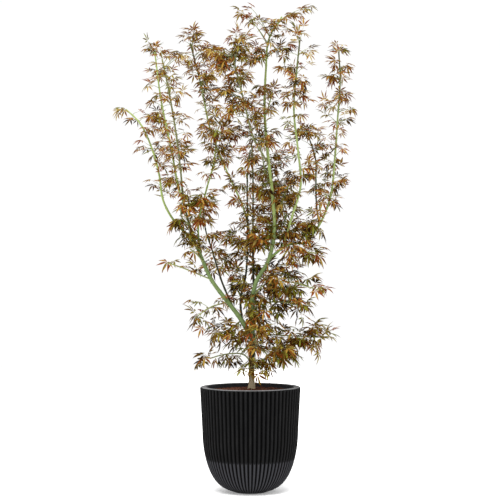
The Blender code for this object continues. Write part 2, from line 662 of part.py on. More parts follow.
class Spray:
    """A rounded space that one part of a mass fills with twigs and leaves."""

    def __init__(self, centre, half_width, half_height, leaf_share):
        self.centre = centre
        self.half = Vector((half_width, half_width, half_height))
        fitting = LEAF_FILL * min(half_width, 1.35 * half_height)
        self.leaf = min(max(fitting, LEAF_SMALL), LEAF_LARGE)
        ground = math.pi * half_width * half_height
        self.leaves = max(1, round(ground / (leaf_share * self.leaf ** 2)))

    def holds(self, bm):
        limit = [h * 1.12 + SPACE_MARGIN for h in self.half]
        return all(
            sum(((v.co[i] - self.centre[i]) / limit[i]) ** 2 for i in range(3)) <= 1
            for v in bm.verts)


class Mass:
    """One mass of foliage, which grows twig by twig on its stem."""

    def __init__(self, name, path, start, end, square, parent, room):
        self.name = name
        self.leaf_share = CANE_LEAF_SHARE if name in CANE_FOLIAGE else SIDE_LEAF_SHARE
        self.path = path
        self.rng = random.Random(name)
        self.room = room
        self.pieces = []
        rings = [path.at(share) for share in ring_shares(path, start, end, STEM_STEP, square)]
        line = [place for a, b in zip(rings, rings[1:]) for place in places_between(a, b)]
        self.wood = {name: [p for p in line if not parent or parent.clears(p, BARE_FOOT)]}
        self.start = start
        self.end = end

    def spray_at(self, number, share, side, lift, half_width, half_height):
        seat = self.path.at(self.start + (self.end - self.start) * share)
        way = random.Random(f"{self.name} spray {number}").uniform(-1, 1)
        depth = way * SPRAY_DEPTH * half_width
        centre = seat + Vector((side, depth, lift))
        return Spray(centre, half_width, half_height, self.leaf_share)

    def foot_for(self, tip):
        """Where a twig to this tip leaves the wood grown so far."""
        best = None
        for key, line in self.wood.items():
            for i, point in enumerate(line):
                distance = (tip - point).length
                if best is None or distance < best[0]:
                    best = distance, key, i
        distance, key, i = best
        back = round(TWIG_LEAN * distance / WOOD_STEP)
        return key, self.wood[key][max(0, i - back)]

    def leaf_frame(self, seat, heading, offset, looseness):
        """A leaf's place and turn: near the heading, drooping, its face turned any way."""
        way = heading + random_way(self.rng) * looseness + Vector((0, 0, -LEAF_HANG))
        way.normalize()
        turn = self.rng.uniform(0, math.tau)
        facing = Vector((math.cos(turn) * LEAF_TILT, math.sin(turn) * LEAF_TILT, LEAF_UP))
        facing += random_way(self.rng) * 0.3
        across = facing.cross(way).normalized()
        turned = Matrix((way, across, way.cross(across))).transposed().to_4x4()
        return Matrix.Translation(seat + way * offset) @ turned

    def fits(self, probe, spray=None, skip=()):
        clear = (spray is None or spray.holds(probe)) and not self.room.meets(probe, skip)
        probe.free()
        return clear

    def take(self, key, probe):
        self.room.add(key, probe)
        probe.free()

    def add_twig(self, tip, spray):
        """Grow a twig with a leaf at its tip, or return nothing where the way is blocked."""
        parent, foot = self.foot_for(tip)
        along = (tip - foot).normalized()
        length = max((tip - foot).length, TWIG_MIN)
        tip = foot + along * length
        radius = TWIG_FOOT + TWIG_THICKENING * length
        start = foot + along * TWIG_CLEAR
        if not self.fits(
                twig_shape(start, tip, radius + TWIG_GAP, TWIG_TIP + TWIG_GAP), skip=(parent,)):
            return None
        reach = spray.leaf * self.rng.uniform(0.9, 1.1)
        for attempt in range(TRIES):
            frame = self.leaf_frame(tip, along, 0.0, 0.2 + 0.05 * attempt)
            if self.fits(leaf_shape(frame, reach, grow=LEAF_GAP), spray):
                break
        else:
            return None
        self.pieces.append(leafy_twig(foot, radius, frame, reach))
        key = f"{self.name} twig {len(self.pieces)}"
        self.take(key, twig_shape(foot, tip, radius, TWIG_TIP))
        self.take(key + " leaf", leaf_shape(frame, reach))
        self.wood[key] = places_between(foot, tip)
        return key, foot, tip

    def add_leaf(self, seat, heading, spray, skip):
        """Seat a side leaf on a twig if it can be clear of all else and inside its spray."""
        for attempt in range(TRIES):
            frame = self.leaf_frame(seat, heading, PETIOLE, 0.2 + 0.08 * attempt)
            reach = spray.leaf * self.rng.uniform(0.85, 1.05)
            if self.fits(leaf_shape(frame, reach, grow=LEAF_GAP), spray, skip):
                bm = leaf_shape(frame, reach, root=PETIOLE)
                self.room.add(f"{self.name} leaf {len(self.pieces)}", bm)
                self.pieces.append(bm)
                return

    def fill(self, spray):
        """Grow a spray's twigs evenly round its middle, each with its share of the leaves."""
        twigs = math.ceil(spray.leaves / LEAVES_PER_TWIG)
        first = self.rng.uniform(-0.5, 0.5) + self.rng.choice((0, math.pi))
        spread = max(0.25 * spray.half.x, 1.15 * spray.half.x - spray.leaf)
        rise = max(0.15 * spray.half.z, 1.05 * spray.half.z - 0.6 * spray.leaf)
        for k in range(twigs):
            count = spray.leaves // twigs + (k < spray.leaves % twigs)
            for _ in range(TRIES):
                turn = first + math.tau * k / twigs + self.rng.uniform(-0.35, 0.35)
                level = self.rng.uniform(-0.4, 0.4) + (-1) ** k * 0.6 * (twigs > 1)
                tip = spray.centre + Vector((
                    spread * math.cos(turn), spread * math.sin(turn), rise * level))
                twig = self.add_twig(tip, spray)
                if twig:
                    break
            else:
                continue
            key, foot, tip = twig
            along = (tip - foot).normalized()
            across = along.cross(Vector((0, 0, 1))).normalized()
            for i in range(count - 1):
                pair = i // 2
                back = min(PAIR_SETBACK * (1 + pair), (0.5 + 0.25 * pair) * (tip - foot).length)
                heading = across * (-1) ** i + along * 0.2
                self.add_leaf(tip - along * back, heading, spray, skip=(key,))


# ------------------------------------------------------------------------ assembly

def make_paths():
    """The centre line of every stem, each starting on the axis of what it springs from."""
    paths = {}
    for name, (parent, height, points, foot, tip) in STEMS.items():
        if parent:
            first = paths[parent].at(paths[parent].share_at_height(height))
        else:
            first = Vector((points[0][0], points[0][1], height + CLEARANCE))
        points = [first] + [Vector(p) for p in points]
        paths[name] = Path(points, foot, tip, flared=parent is None)
    for name, (parent, height, points, _) in SIDE_FOLIAGE.items():
        first = paths[parent].at(paths[parent].share_at_height(height))
        points = [first] + [Vector(p) for p in points]
        paths["side " + name] = Path(points, SIDE_STEM_FOOT, SIDE_STEM_TIP)
    return paths


def sides_of(name):
    """The trunk has eight sides and the other bare limbs have six."""
    return 8 if name == "trunk" else 6


def make_limbs(paths, room, cutters, tree):
    """Trunk, boughs and bare canes, each cut clear of what it springs from."""
    for name, height in LIMBS.items():
        path = paths[name]
        end = path.share_at_height(height) if height else 1.0
        step = TRUNK_STEP if name == "trunk" else LIMB_STEP
        shape = name, path, 0.0, end, step, sides_of(name)
        limb = tube(*shape, tree)
        if name == "trunk":
            for vert in limb.data.vertices[:]:
                if vert.co.z < SOIL_TOP + 2 * CLEARANCE:
                    vert.co.z = SOIL_TOP + CLEARANCE
        limb = cut_foot(limb, cutters, tree)
        paint(limb, LIMB_COLOURS.get(name, CANE_GREEN), 0.8)
        guide = tube(*shape, cutters, grow=CLEARANCE)
        guide.name = "cutter_" + name
        guide.hide_render = True
        guide.display_type = "WIRE"
        bm = bmesh.new()
        bm.from_mesh(limb.data)
        room.add(name, bm)
        bm.free()


def cut_foot(obj, cutters, tree):
    """Cut a limb or a stem clear of every limb that its foot starts in."""
    shape = tree_of(obj)
    for cutter in list(cutters.objects):
        if shape.overlap(tree_of(cutter)):
            obj = boolean(obj, "DIFFERENCE", tree, other=cutter)
            shape = tree_of(obj)
    keep_largest(obj)
    return obj


def plan_foliage(paths):
    """Each mass with its path, the stretch of the path that is its stem, which ends of
    the stem are square, the limb that a side stem springs from, and its sprays."""
    plans = []
    for name, (cane, low, high, sprays) in CANE_FOLIAGE.items():
        path = paths[cane]
        start = path.share_at_height(low) + CLEARANCE / path.length
        end = path.share_at_height(high) if high else 1.0
        plans.append((name, path, start, end, (True, False), None, sprays))
    for name, (limb, _, _, sprays) in SIDE_FOLIAGE.items():
        path = paths["side " + name]
        plans.append((name, path, 0.0, 1.0, (False, False), paths[limb], sprays))
    return plans


def make_foliage(paths, room, cutters, tree):
    """Lay every mass's stem first, so that all masses then keep clear of all stems."""
    stems = {}
    plans = plan_foliage(paths)
    for name, path, start, end, square, _, _ in plans:
        stem = tube(
            "foliage_" + name, path, start, end, STEM_STEP, STEM_SIDES, tree, square=square)
        if start == 0.0:
            stem = cut_foot(stem, cutters, tree)
        bm = bmesh.new()
        bm.from_mesh(stem.data)
        room.add(name, bm)
        bm.free()
        stems[name] = stem
    for name, path, start, end, square, parent, sprays in plans:
        mass = Mass(name, path, start, end, square, parent, room)
        for number, values in enumerate(sprays):
            mass.fill(mass.spray_at(number, *values))
        solid = fuse(stems[name], mass.pieces, tree)
        keep_largest(solid)
        paint(solid, LEAF_RUST, 0.85)


def fuse(stem, pieces, tree):
    """Join a stem with its twigs and leaves by one Boolean union on a collection."""
    group = bpy.data.collections.new(stem.name + "_pieces")
    for i, bm in enumerate(pieces):
        mesh_object(f"{stem.name}_{i}", bm, group)
    solid = boolean(stem, "UNION", tree, group=group, solver=FUSE_SOLVER)
    for obj in list(group.objects):
        bpy.data.objects.remove(obj, do_unlink=True)
    bpy.data.collections.remove(group)
    return solid


def main():
    clear_scene()
    tree = new_collection("potted japanese maple")
    cutters = new_collection("cutters")
    make_planter(tree)
    make_soil(tree)
    paths = make_paths()
    room = Room()
    make_limbs(paths, room, cutters, tree)
    make_foliage(paths, room, cutters, tree)
    for cutter in list(cutters.objects):
        bpy.data.objects.remove(cutter, do_unlink=True)


main()
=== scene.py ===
"""The looks of the potted japanese maple, in metres, on the frame of its solids.

The trunk, boughs and canes are meshes with the bark's relief.  Each mass of foliage is
grown again on the solids' stems, in the solids' sprays and in more sprays beside them.
As in the solids, a shoot leaves the nearest wood a little further down and carries a leaf
at its tip and pairs of leaves behind it.  Here shoots grow from stems only, and leaves
are kept near the solids' box but not apart from each other.
"""
import json
import math
import random

import bmesh
import bpy
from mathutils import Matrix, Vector

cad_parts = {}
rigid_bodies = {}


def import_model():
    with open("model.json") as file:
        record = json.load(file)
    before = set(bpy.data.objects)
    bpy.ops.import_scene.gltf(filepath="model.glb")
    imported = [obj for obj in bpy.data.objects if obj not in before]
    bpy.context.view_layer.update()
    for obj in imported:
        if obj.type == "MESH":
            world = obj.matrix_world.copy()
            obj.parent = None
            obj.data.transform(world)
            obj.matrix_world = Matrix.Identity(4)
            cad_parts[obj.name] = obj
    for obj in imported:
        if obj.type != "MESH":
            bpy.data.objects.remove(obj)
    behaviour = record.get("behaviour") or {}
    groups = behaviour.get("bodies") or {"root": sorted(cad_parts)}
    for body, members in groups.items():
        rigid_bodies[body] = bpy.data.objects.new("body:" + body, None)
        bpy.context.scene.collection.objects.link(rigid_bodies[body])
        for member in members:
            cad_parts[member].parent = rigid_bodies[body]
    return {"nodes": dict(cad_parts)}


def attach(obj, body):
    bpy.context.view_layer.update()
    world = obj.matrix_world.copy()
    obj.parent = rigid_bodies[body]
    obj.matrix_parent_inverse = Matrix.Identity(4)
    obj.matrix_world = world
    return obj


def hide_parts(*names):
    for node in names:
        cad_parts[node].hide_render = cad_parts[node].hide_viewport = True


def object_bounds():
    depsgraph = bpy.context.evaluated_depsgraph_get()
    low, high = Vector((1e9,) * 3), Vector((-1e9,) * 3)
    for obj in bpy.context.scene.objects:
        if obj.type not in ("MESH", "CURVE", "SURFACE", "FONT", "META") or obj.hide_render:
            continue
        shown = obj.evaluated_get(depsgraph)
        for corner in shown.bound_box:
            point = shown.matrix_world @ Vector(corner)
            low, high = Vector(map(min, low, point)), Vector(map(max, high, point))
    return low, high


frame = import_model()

CAD_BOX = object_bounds()

# Camera and light
EYE = (-0.001, -5.8, 0.866)
LENS = 116.5
SKY_STRENGTH = 1.02
SUN_STRENGTH = 4.0
SUN_SIZE = 40  # degrees across, for soft shadows
SUN_TURN = (24, 0, -8)
FLOOR_HALF = 6.0
FLOOR_GLOW = 0.25  # of a lit table, so that the shadow on it stays pale

# Planter
POT_HEIGHT = 0.3765
RIM_RADIUS = 0.1805
BOWL_HEIGHT = 0.217
BOWL_RADIUS = 0.172
BOWL_DRAW_IN = 0.0095
BOWL_ROUNDNESS = 1.87
BOWL_SQUARENESS = 3.77
BASE_RADIUS = 0.056
BORE = [(0.020, 0.070), (0.100, 0.130), (POT_HEIGHT, 0.1515)]  # heights and radii
RIBS = 68
RIB_DEPTH = 0.0056
STEPS_PER_RIB = 10
MOUTH_RADIUS = 0.1565  # of the bore at the rim
LIP_ROUNDING = 0.0055  # of the rim's outer edge
LIP_INNER_ROUNDING = 0.003
WALL_ROWS = 46  # of the outer wall, closer together towards the rim
ROW_CROWDING = 1.25
BASE_EDGE = 0.004  # the wall's last row stands at least this far out from the base
BASE_MARGIN = 0.002  # and ribs end this far out from it
WALL_DEPTH = 0.0095  # what lies deeper than this is lining and carries no ribs
RIB_END = 0.0005  # ribs stop this far below the rim
RIB_FADE_FOOT = 0.006  # and fade in over this height above the ground

# Soil
SOIL_TOP = 0.3620
SOIL_RISE = 0.0030
SOIL_MOUND = 0.007  # the loose top rises this much more around the trunk
SOIL_DEPTH = 0.02
SOIL_RINGS = 30
SOIL_WAVES = 14  # that roughen the top
SOIL_WAVE_HEIGHT = 0.0005
CRUMB_DENSITY = 30000.0  # to a square metre
CRUMB_SMALL = 0.0012
CRUMB_LARGE = 0.0062

# Stems and sprays of foliage, as the solids have them
CLEARANCE = 0.00035
FLARE = 0.0055
FLARE_HEIGHT = 0.014
# Name: what it springs from, the height of its foot, the points it passes through,
# and its diameters at foot and tip
STEMS = {
    "trunk": (None, SOIL_TOP, [(0.005, 0, 0.465), (0.010, 0, 0.565)], 0.0205, 0.0195),
    "leader": ("trunk", 0.555, [
        (0.005, -0.02, 0.665), (0.020, -0.04, 0.75), (0.065, -0.06, 0.83),
        (0.085, -0.08, 0.935), (0.080, -0.09, 1.045), (0.060, -0.11, 1.22),
        (0.050, -0.12, 1.36), (0.055, -0.12, 1.50), (0.065, -0.12, 1.605),
        (0.110, -0.11, 1.685)], 0.0155, 0.0050),
    "left_bough": ("trunk", 0.545, [
        (-0.035, 0, 0.62), (-0.085, 0.005, 0.685), (-0.140, 0.01, 0.76),
        (-0.180, 0.015, 0.85), (-0.215, 0.02, 0.93)], 0.0170, 0.0105),
    "left_outer": ("left_bough", 0.900, [
        (-0.265, 0, 0.96), (-0.310, -0.02, 1.04), (-0.325, -0.03, 1.135),
        (-0.350, -0.02, 1.225), (-0.395, 0, 1.32), (-0.445, 0.02, 1.37)], 0.0080, 0.0048),
    "left_second": ("left_bough", 0.918, [
        (-0.235, 0.06, 1.01), (-0.265, 0.10, 1.11), (-0.290, 0.15, 1.235),
        (-0.330, 0.19, 1.42), (-0.355, 0.22, 1.60)], 0.0075, 0.0048),
    "left_third": ("left_bough", 0.880, [
        (-0.235, -0.05, 1.025), (-0.245, -0.11, 1.145), (-0.260, -0.16, 1.28),
        (-0.285, -0.19, 1.43), (-0.305, -0.20, 1.525)], 0.0070, 0.0048),
    "left_inner": ("left_bough", 0.850, [
        (-0.185, -0.03, 0.955), (-0.155, -0.08, 1.08), (-0.130, -0.11, 1.165),
        (-0.115, -0.13, 1.285)], 0.0065, 0.0048),
    "left_back": ("left_bough", 0.650, [
        (-0.105, 0.09, 0.755), (-0.140, 0.15, 0.865), (-0.165, 0.18, 0.94),
        (-0.175, 0.20, 1.035)], 0.0075, 0.0040),
    "centre_thin": ("left_bough", 0.610, [
        (-0.035, 0.02, 0.685), (-0.015, 0.05, 0.785), (-0.010, 0.08, 0.94),
        (-0.010, 0.10, 1.14), (0, 0.10, 1.23)], 0.0075, 0.0048),
    "centre_back": ("leader", 0.725, [
        (0.010, 0.07, 0.83), (0.010, 0.17, 1.015), (0.010, 0.22, 1.145),
        (0.005, 0.25, 1.26)], 0.0085, 0.0040),
    "centre_left": ("centre_back", 0.870, [
        (-0.025, 0.17, 1.02), (-0.090, 0.21, 1.165), (-0.150, 0.24, 1.32),
        (-0.185, 0.26, 1.485), (-0.225, 0.27, 1.64)], 0.0070, 0.0048),
    "centre_front": ("leader", 1.165, [
        (0.010, -0.17, 1.26), (-0.015, -0.22, 1.35), (-0.035, -0.25, 1.43),
        (-0.065, -0.26, 1.545)], 0.0060, 0.0048),
    "right_bough": ("leader", 0.835, [
        (0.135, -0.06, 0.885), (0.200, -0.04, 0.89)], 0.0090, 0.0080),
    "right_inner": ("right_bough", 0.874, [
        (0.145, -0.12, 0.98), (0.175, -0.18, 1.09), (0.165, -0.21, 1.21),
        (0.150, -0.23, 1.35), (0.160, -0.24, 1.485), (0.170, -0.25, 1.585)], 0.0075, 0.0048),
    "right_outer": ("right_bough", 0.890, [
        (0.255, 0, 0.97), (0.290, 0.02, 1.065), (0.305, 0.03, 1.20),
        (0.315, 0.04, 1.335), (0.325, 0.05, 1.48), (0.320, 0.05, 1.58)], 0.0078, 0.0048),
    "right_back": ("right_outer", 0.955, [
        (0.240, 0.06, 1.03), (0.240, 0.12, 1.12), (0.240, 0.17, 1.205),
        (0.205, 0.22, 1.32)], 0.0060, 0.0048),
}
# The cane, the heights between which the mass reaches, and its sprays: place along the
# stem, shift sideways and upwards, and half width and half height
CANE_FOLIAGE = {
    "left_outer": ("left_outer", 1.03, None, [
        (0.11, 0.005, 0, 0.030, 0.025), (0.35, 0, 0, 0.030, 0.035),
        (0.58, -0.040, -0.015, 0.025, 0.025), (0.72, 0.015, 0.005, 0.030, 0.030),
        (0.98, -0.005, 0.010, 0.050, 0.030)]),
    "left_second": ("left_second", 1.08, None, [
        (0.11, -0.020, -0.005, 0.035, 0.030), (0.32, -0.025, -0.005, 0.035, 0.030),
        (0.47, -0.005, 0.005, 0.020, 0.020), (0.68, 0.005, 0, 0.045, 0.030),
        (0.85, 0.005, 0, 0.035, 0.035), (0.99, -0.005, 0.020, 0.045, 0.035)]),
    "left_third": ("left_third", 1.12, None, [
        (0.22, 0.020, 0.005, 0.040, 0.030), (0.54, 0.015, 0, 0.030, 0.025),
        (0.70, 0.050, 0.010, 0.020, 0.015), (0.85, 0.020, 0.005, 0.030, 0.030),
        (0.99, 0.050, 0.010, 0.055, 0.030)]),
    "left_back": ("left_back", 0.82, None, [
        (0.10, 0, 0, 0.055, 0.055), (0.55, 0.015, 0.005, 0.050, 0.050),
        (0.98, 0.010, 0, 0.035, 0.035)]),
    "left_inner": ("left_inner", 0.99, None, [
        (0.15, 0.010, -0.005, 0.045, 0.045), (0.52, 0, 0, 0.025, 0.020),
        (0.69, 0.020, 0, 0.070, 0.025), (0.84, -0.005, 0, 0.055, 0.025),
        (0.98, 0.010, 0, 0.070, 0.025)]),
    "centre_left_mid": ("centre_left", 1.28, 1.44, [
        (0.35, -0.005, 0, 0.035, 0.040), (0.85, 0.035, 0, 0.040, 0.040)]),
    "centre_left_top": ("centre_left", 1.44, None, [
        (0.24, 0.025, 0.005, 0.050, 0.055), (0.55, 0.010, 0.005, 0.040, 0.035),
        (0.78, 0.065, 0.015, 0.040, 0.040), (0.99, 0.010, 0.020, 0.040, 0.040)]),
    "centre_thin_low": ("centre_thin", 0.70, 0.92, [
        (0.10, -0.025, -0.025, 0.020, 0.020), (0.36, -0.035, 0.005, 0.040, 0.045),
        (0.91, -0.065, 0, 0.045, 0.040)]),
    "centre_thin_top": ("centre_thin", 0.92, None, [
        (0.38, 0.010, -0.005, 0.045, 0.050), (0.87, 0.005, 0, 0.035, 0.040)]),
    "centre_back": ("centre_back", 0.99, None, [
        (0.10, 0.050, 0, 0.035, 0.050), (0.86, -0.005, 0, 0.040, 0.055)]),
    "centre_front_low": ("centre_front", 1.22, 1.40, [
        (0.74, 0.020, 0.005, 0.035, 0.045), (0.95, -0.055, 0.005, 0.045, 0.030)]),
    "centre_front_top": ("centre_front", 1.40, None, [
        (0.42, -0.010, -0.005, 0.050, 0.035), (0.97, -0.050, 0.015, 0.045, 0.050),
        (0.97, 0.030, 0.010, 0.045, 0.050)]),
    "leader_top": ("leader", 1.53, None, [
        (0.25, 0.050, 0, 0.065, 0.035), (0.25, -0.045, 0, 0.030, 0.045),
        (0.55, -0.080, 0.085, 0.045, 0.045), (0.62, 0.020, 0.010, 0.055, 0.035),
        (0.97, 0.035, 0.025, 0.065, 0.035)]),
    "right_inner_low": ("right_inner", 1.06, 1.30, [
        (0.32, -0.010, 0, 0.045, 0.050), (0.72, -0.015, 0, 0.040, 0.025)]),
    "right_inner_mid": ("right_inner", 1.30, 1.48, [
        (0.39, -0.015, 0, 0.025, 0.025), (0.43, 0.030, 0, 0.020, 0.020),
        (0.84, 0.005, 0, 0.045, 0.035)]),
    "right_inner_top": ("right_inner", 1.48, None, [
        (0.20, 0, 0, 0.030, 0.020), (0.10, -0.040, 0, 0.025, 0.015),
        (0.69, 0.030, -0.005, 0.020, 0.025), (0.99, 0, 0.020, 0.035, 0.030)]),
    "right_outer_mid": ("right_outer", 1.05, 1.26, [
        (0.39, 0.010, -0.005, 0.050, 0.065), (0.84, -0.005, 0, 0.030, 0.015)]),
    "right_outer_top": ("right_outer", 1.26, None, [
        (0.06, 0.005, 0, 0.045, 0.015), (0.24, 0.015, 0, 0.030, 0.025),
        (0.40, -0.055, 0, 0.025, 0.020), (0.36, 0.045, 0, 0.015, 0.020),
        (0.51, 0.015, 0, 0.030, 0.025), (0.72, -0.025, 0, 0.030, 0.040),
        (0.80, 0.025, 0, 0.030, 0.045), (0.99, 0.010, 0.015, 0.035, 0.020)]),
    "right_back": ("right_back", 1.05, None, [
        (0.30, 0, 0, 0.050, 0.065), (0.72, 0.010, 0.005, 0.030, 0.030),
        (0.98, -0.005, -0.005, 0.055, 0.040)]),
}
# What it springs from, the height of its foot, the stem's points, and its sprays
SIDE_FOLIAGE = {
    "left_wisp": ("left_bough", 0.76, [
        (-0.200, 0, 0.785), (-0.250, -0.01, 0.805), (-0.295, -0.02, 0.82)], [
        (0.61, 0, 0, 0.030, 0.025), (0.96, 0, 0, 0.025, 0.025)]),
    "left_elbow": ("left_bough", 0.82, [(-0.190, -0.015, 0.85), (-0.215, -0.03, 0.87)], [
        (0.79, 0, -0.005, 0.030, 0.040)]),
    "left_low_outer": ("left_bough", 0.68, [(-0.145, -0.03, 0.66), (-0.195, -0.05, 0.625)], [
        (0.53, 0.020, -0.035, 0.030, 0.035), (0.99, 0.010, -0.015, 0.030, 0.045)]),
    "left_low_inner": ("left_bough", 0.615, [(-0.065, 0.03, 0.585), (-0.120, 0.04, 0.56)], [
        (0.36, 0.020, -0.020, 0.035, 0.030), (0.93, 0.005, -0.010, 0.035, 0.035)]),
    "left_skirt": ("trunk", 0.460, [
        (-0.025, 0.02, 0.49), (-0.090, 0.03, 0.49), (-0.190, 0.03, 0.46)], [
        (0.56, 0.005, -0.015, 0.050, 0.030), (0.98, 0, 0, 0.045, 0.040)]),
    "front_skirt": ("trunk", 0.475, [(0.015, -0.05, 0.48), (0.020, -0.09, 0.445)], [
        (0.95, -0.005, -0.010, 0.055, 0.035)]),
    "right_skirt": ("trunk", 0.500, [(0.040, -0.03, 0.51), (0.080, -0.05, 0.47)], [
        (0.95, -0.005, -0.005, 0.050, 0.040)]),
    "front_knot": ("trunk", 0.530, [(0.015, -0.06, 0.55), (0.020, -0.11, 0.53)], [
        (0.95, -0.005, 0, 0.055, 0.040)]),
    "back_skirt": ("trunk", 0.515, [(0.005, 0.07, 0.53), (-0.005, 0.15, 0.50)], [
        (0.95, 0.005, -0.005, 0.050, 0.040)]),
    "right_shelf_low": ("trunk", 0.545, [
        (0.070, 0.02, 0.560), (0.165, 0.04, 0.555), (0.280, 0.05, 0.550)], [
        (0.33, 0, -0.010, 0.055, 0.055), (0.70, -0.005, -0.020, 0.060, 0.055),
        (0.98, 0.010, 0.010, 0.050, 0.035)]),
    "right_shelf_mid": ("leader", 0.655, [
        (0.070, -0.03, 0.68), (0.150, -0.04, 0.675), (0.240, -0.04, 0.645)], [
        (0.10, -0.010, -0.035, 0.040, 0.040), (0.42, 0, -0.015, 0.050, 0.050),
        (0.72, 0, 0, 0.045, 0.055), (0.98, 0.010, 0.010, 0.040, 0.025)]),
    "right_shelf_top": ("leader", 0.700, [
        (0.055, -0.05, 0.745), (0.125, -0.07, 0.755), (0.225, -0.08, 0.730)], [
        (0.33, 0, -0.005, 0.045, 0.040), (0.66, 0.005, 0.005, 0.045, 0.045),
        (0.97, 0.015, 0.005, 0.045, 0.035)]),
    "right_orange": ("right_bough", 0.888, [(0.175, -0.09, 0.865), (0.230, -0.11, 0.855)], [
        (0.40, -0.010, -0.010, 0.040, 0.040), (0.95, 0, 0.005, 0.040, 0.040)]),
    "right_heart": ("right_inner", 0.925, [(0.160, -0.05, 0.945), (0.190, -0.03, 0.965)], [
        (0.61, 0.025, -0.030, 0.045, 0.025), (0.84, -0.015, 0.015, 0.025, 0.030)]),
    "right_cane_foot": ("right_outer", 0.95, [(0.250, -0.04, 0.995), (0.245, -0.06, 1.035)], [
        (0.30, -0.010, 0.005, 0.040, 0.025), (0.79, 0, 0, 0.035, 0.040)]),
    "left_heart": ("left_third", 0.955, [(-0.245, -0.05, 0.985), (-0.245, -0.07, 1.03)], [
        (0.30, 0, 0, 0.030, 0.030), (0.96, 0.005, 0, 0.045, 0.040)]),
    "leader_low_left": ("leader", 0.86, [(0.040, -0.05, 0.90), (0.020, -0.04, 0.95)], [
        (0.57, -0.010, -0.005, 0.045, 0.045), (0.98, -0.020, 0.010, 0.045, 0.040)]),
    "leader_low_right": ("leader", 0.90, [(0.115, -0.06, 0.945), (0.130, -0.05, 1.00)], [
        (0.35, 0.025, -0.015, 0.045, 0.045), (0.93, 0, 0, 0.045, 0.045)]),
    "leader_mid_right": ("leader", 1.00, [(0.110, -0.09, 1.03), (0.125, -0.09, 1.07)], [
        (0.79, -0.005, 0, 0.040, 0.040)]),
    "leader_mid": ("leader", 1.09, [
        (0.055, -0.06, 1.13), (0.045, -0.05, 1.185), (0.030, -0.05, 1.255)], [
        (0.34, 0.010, 0, 0.065, 0.045), (0.93, 0.010, 0, 0.060, 0.055)]),
    "leader_high": ("leader", 1.335, [(0.065, -0.15, 1.37), (0.075, -0.16, 1.415)], [
        (0.38, 0, 0, 0.020, 0.035), (0.98, -0.005, 0.005, 0.045, 0.025)]),
}
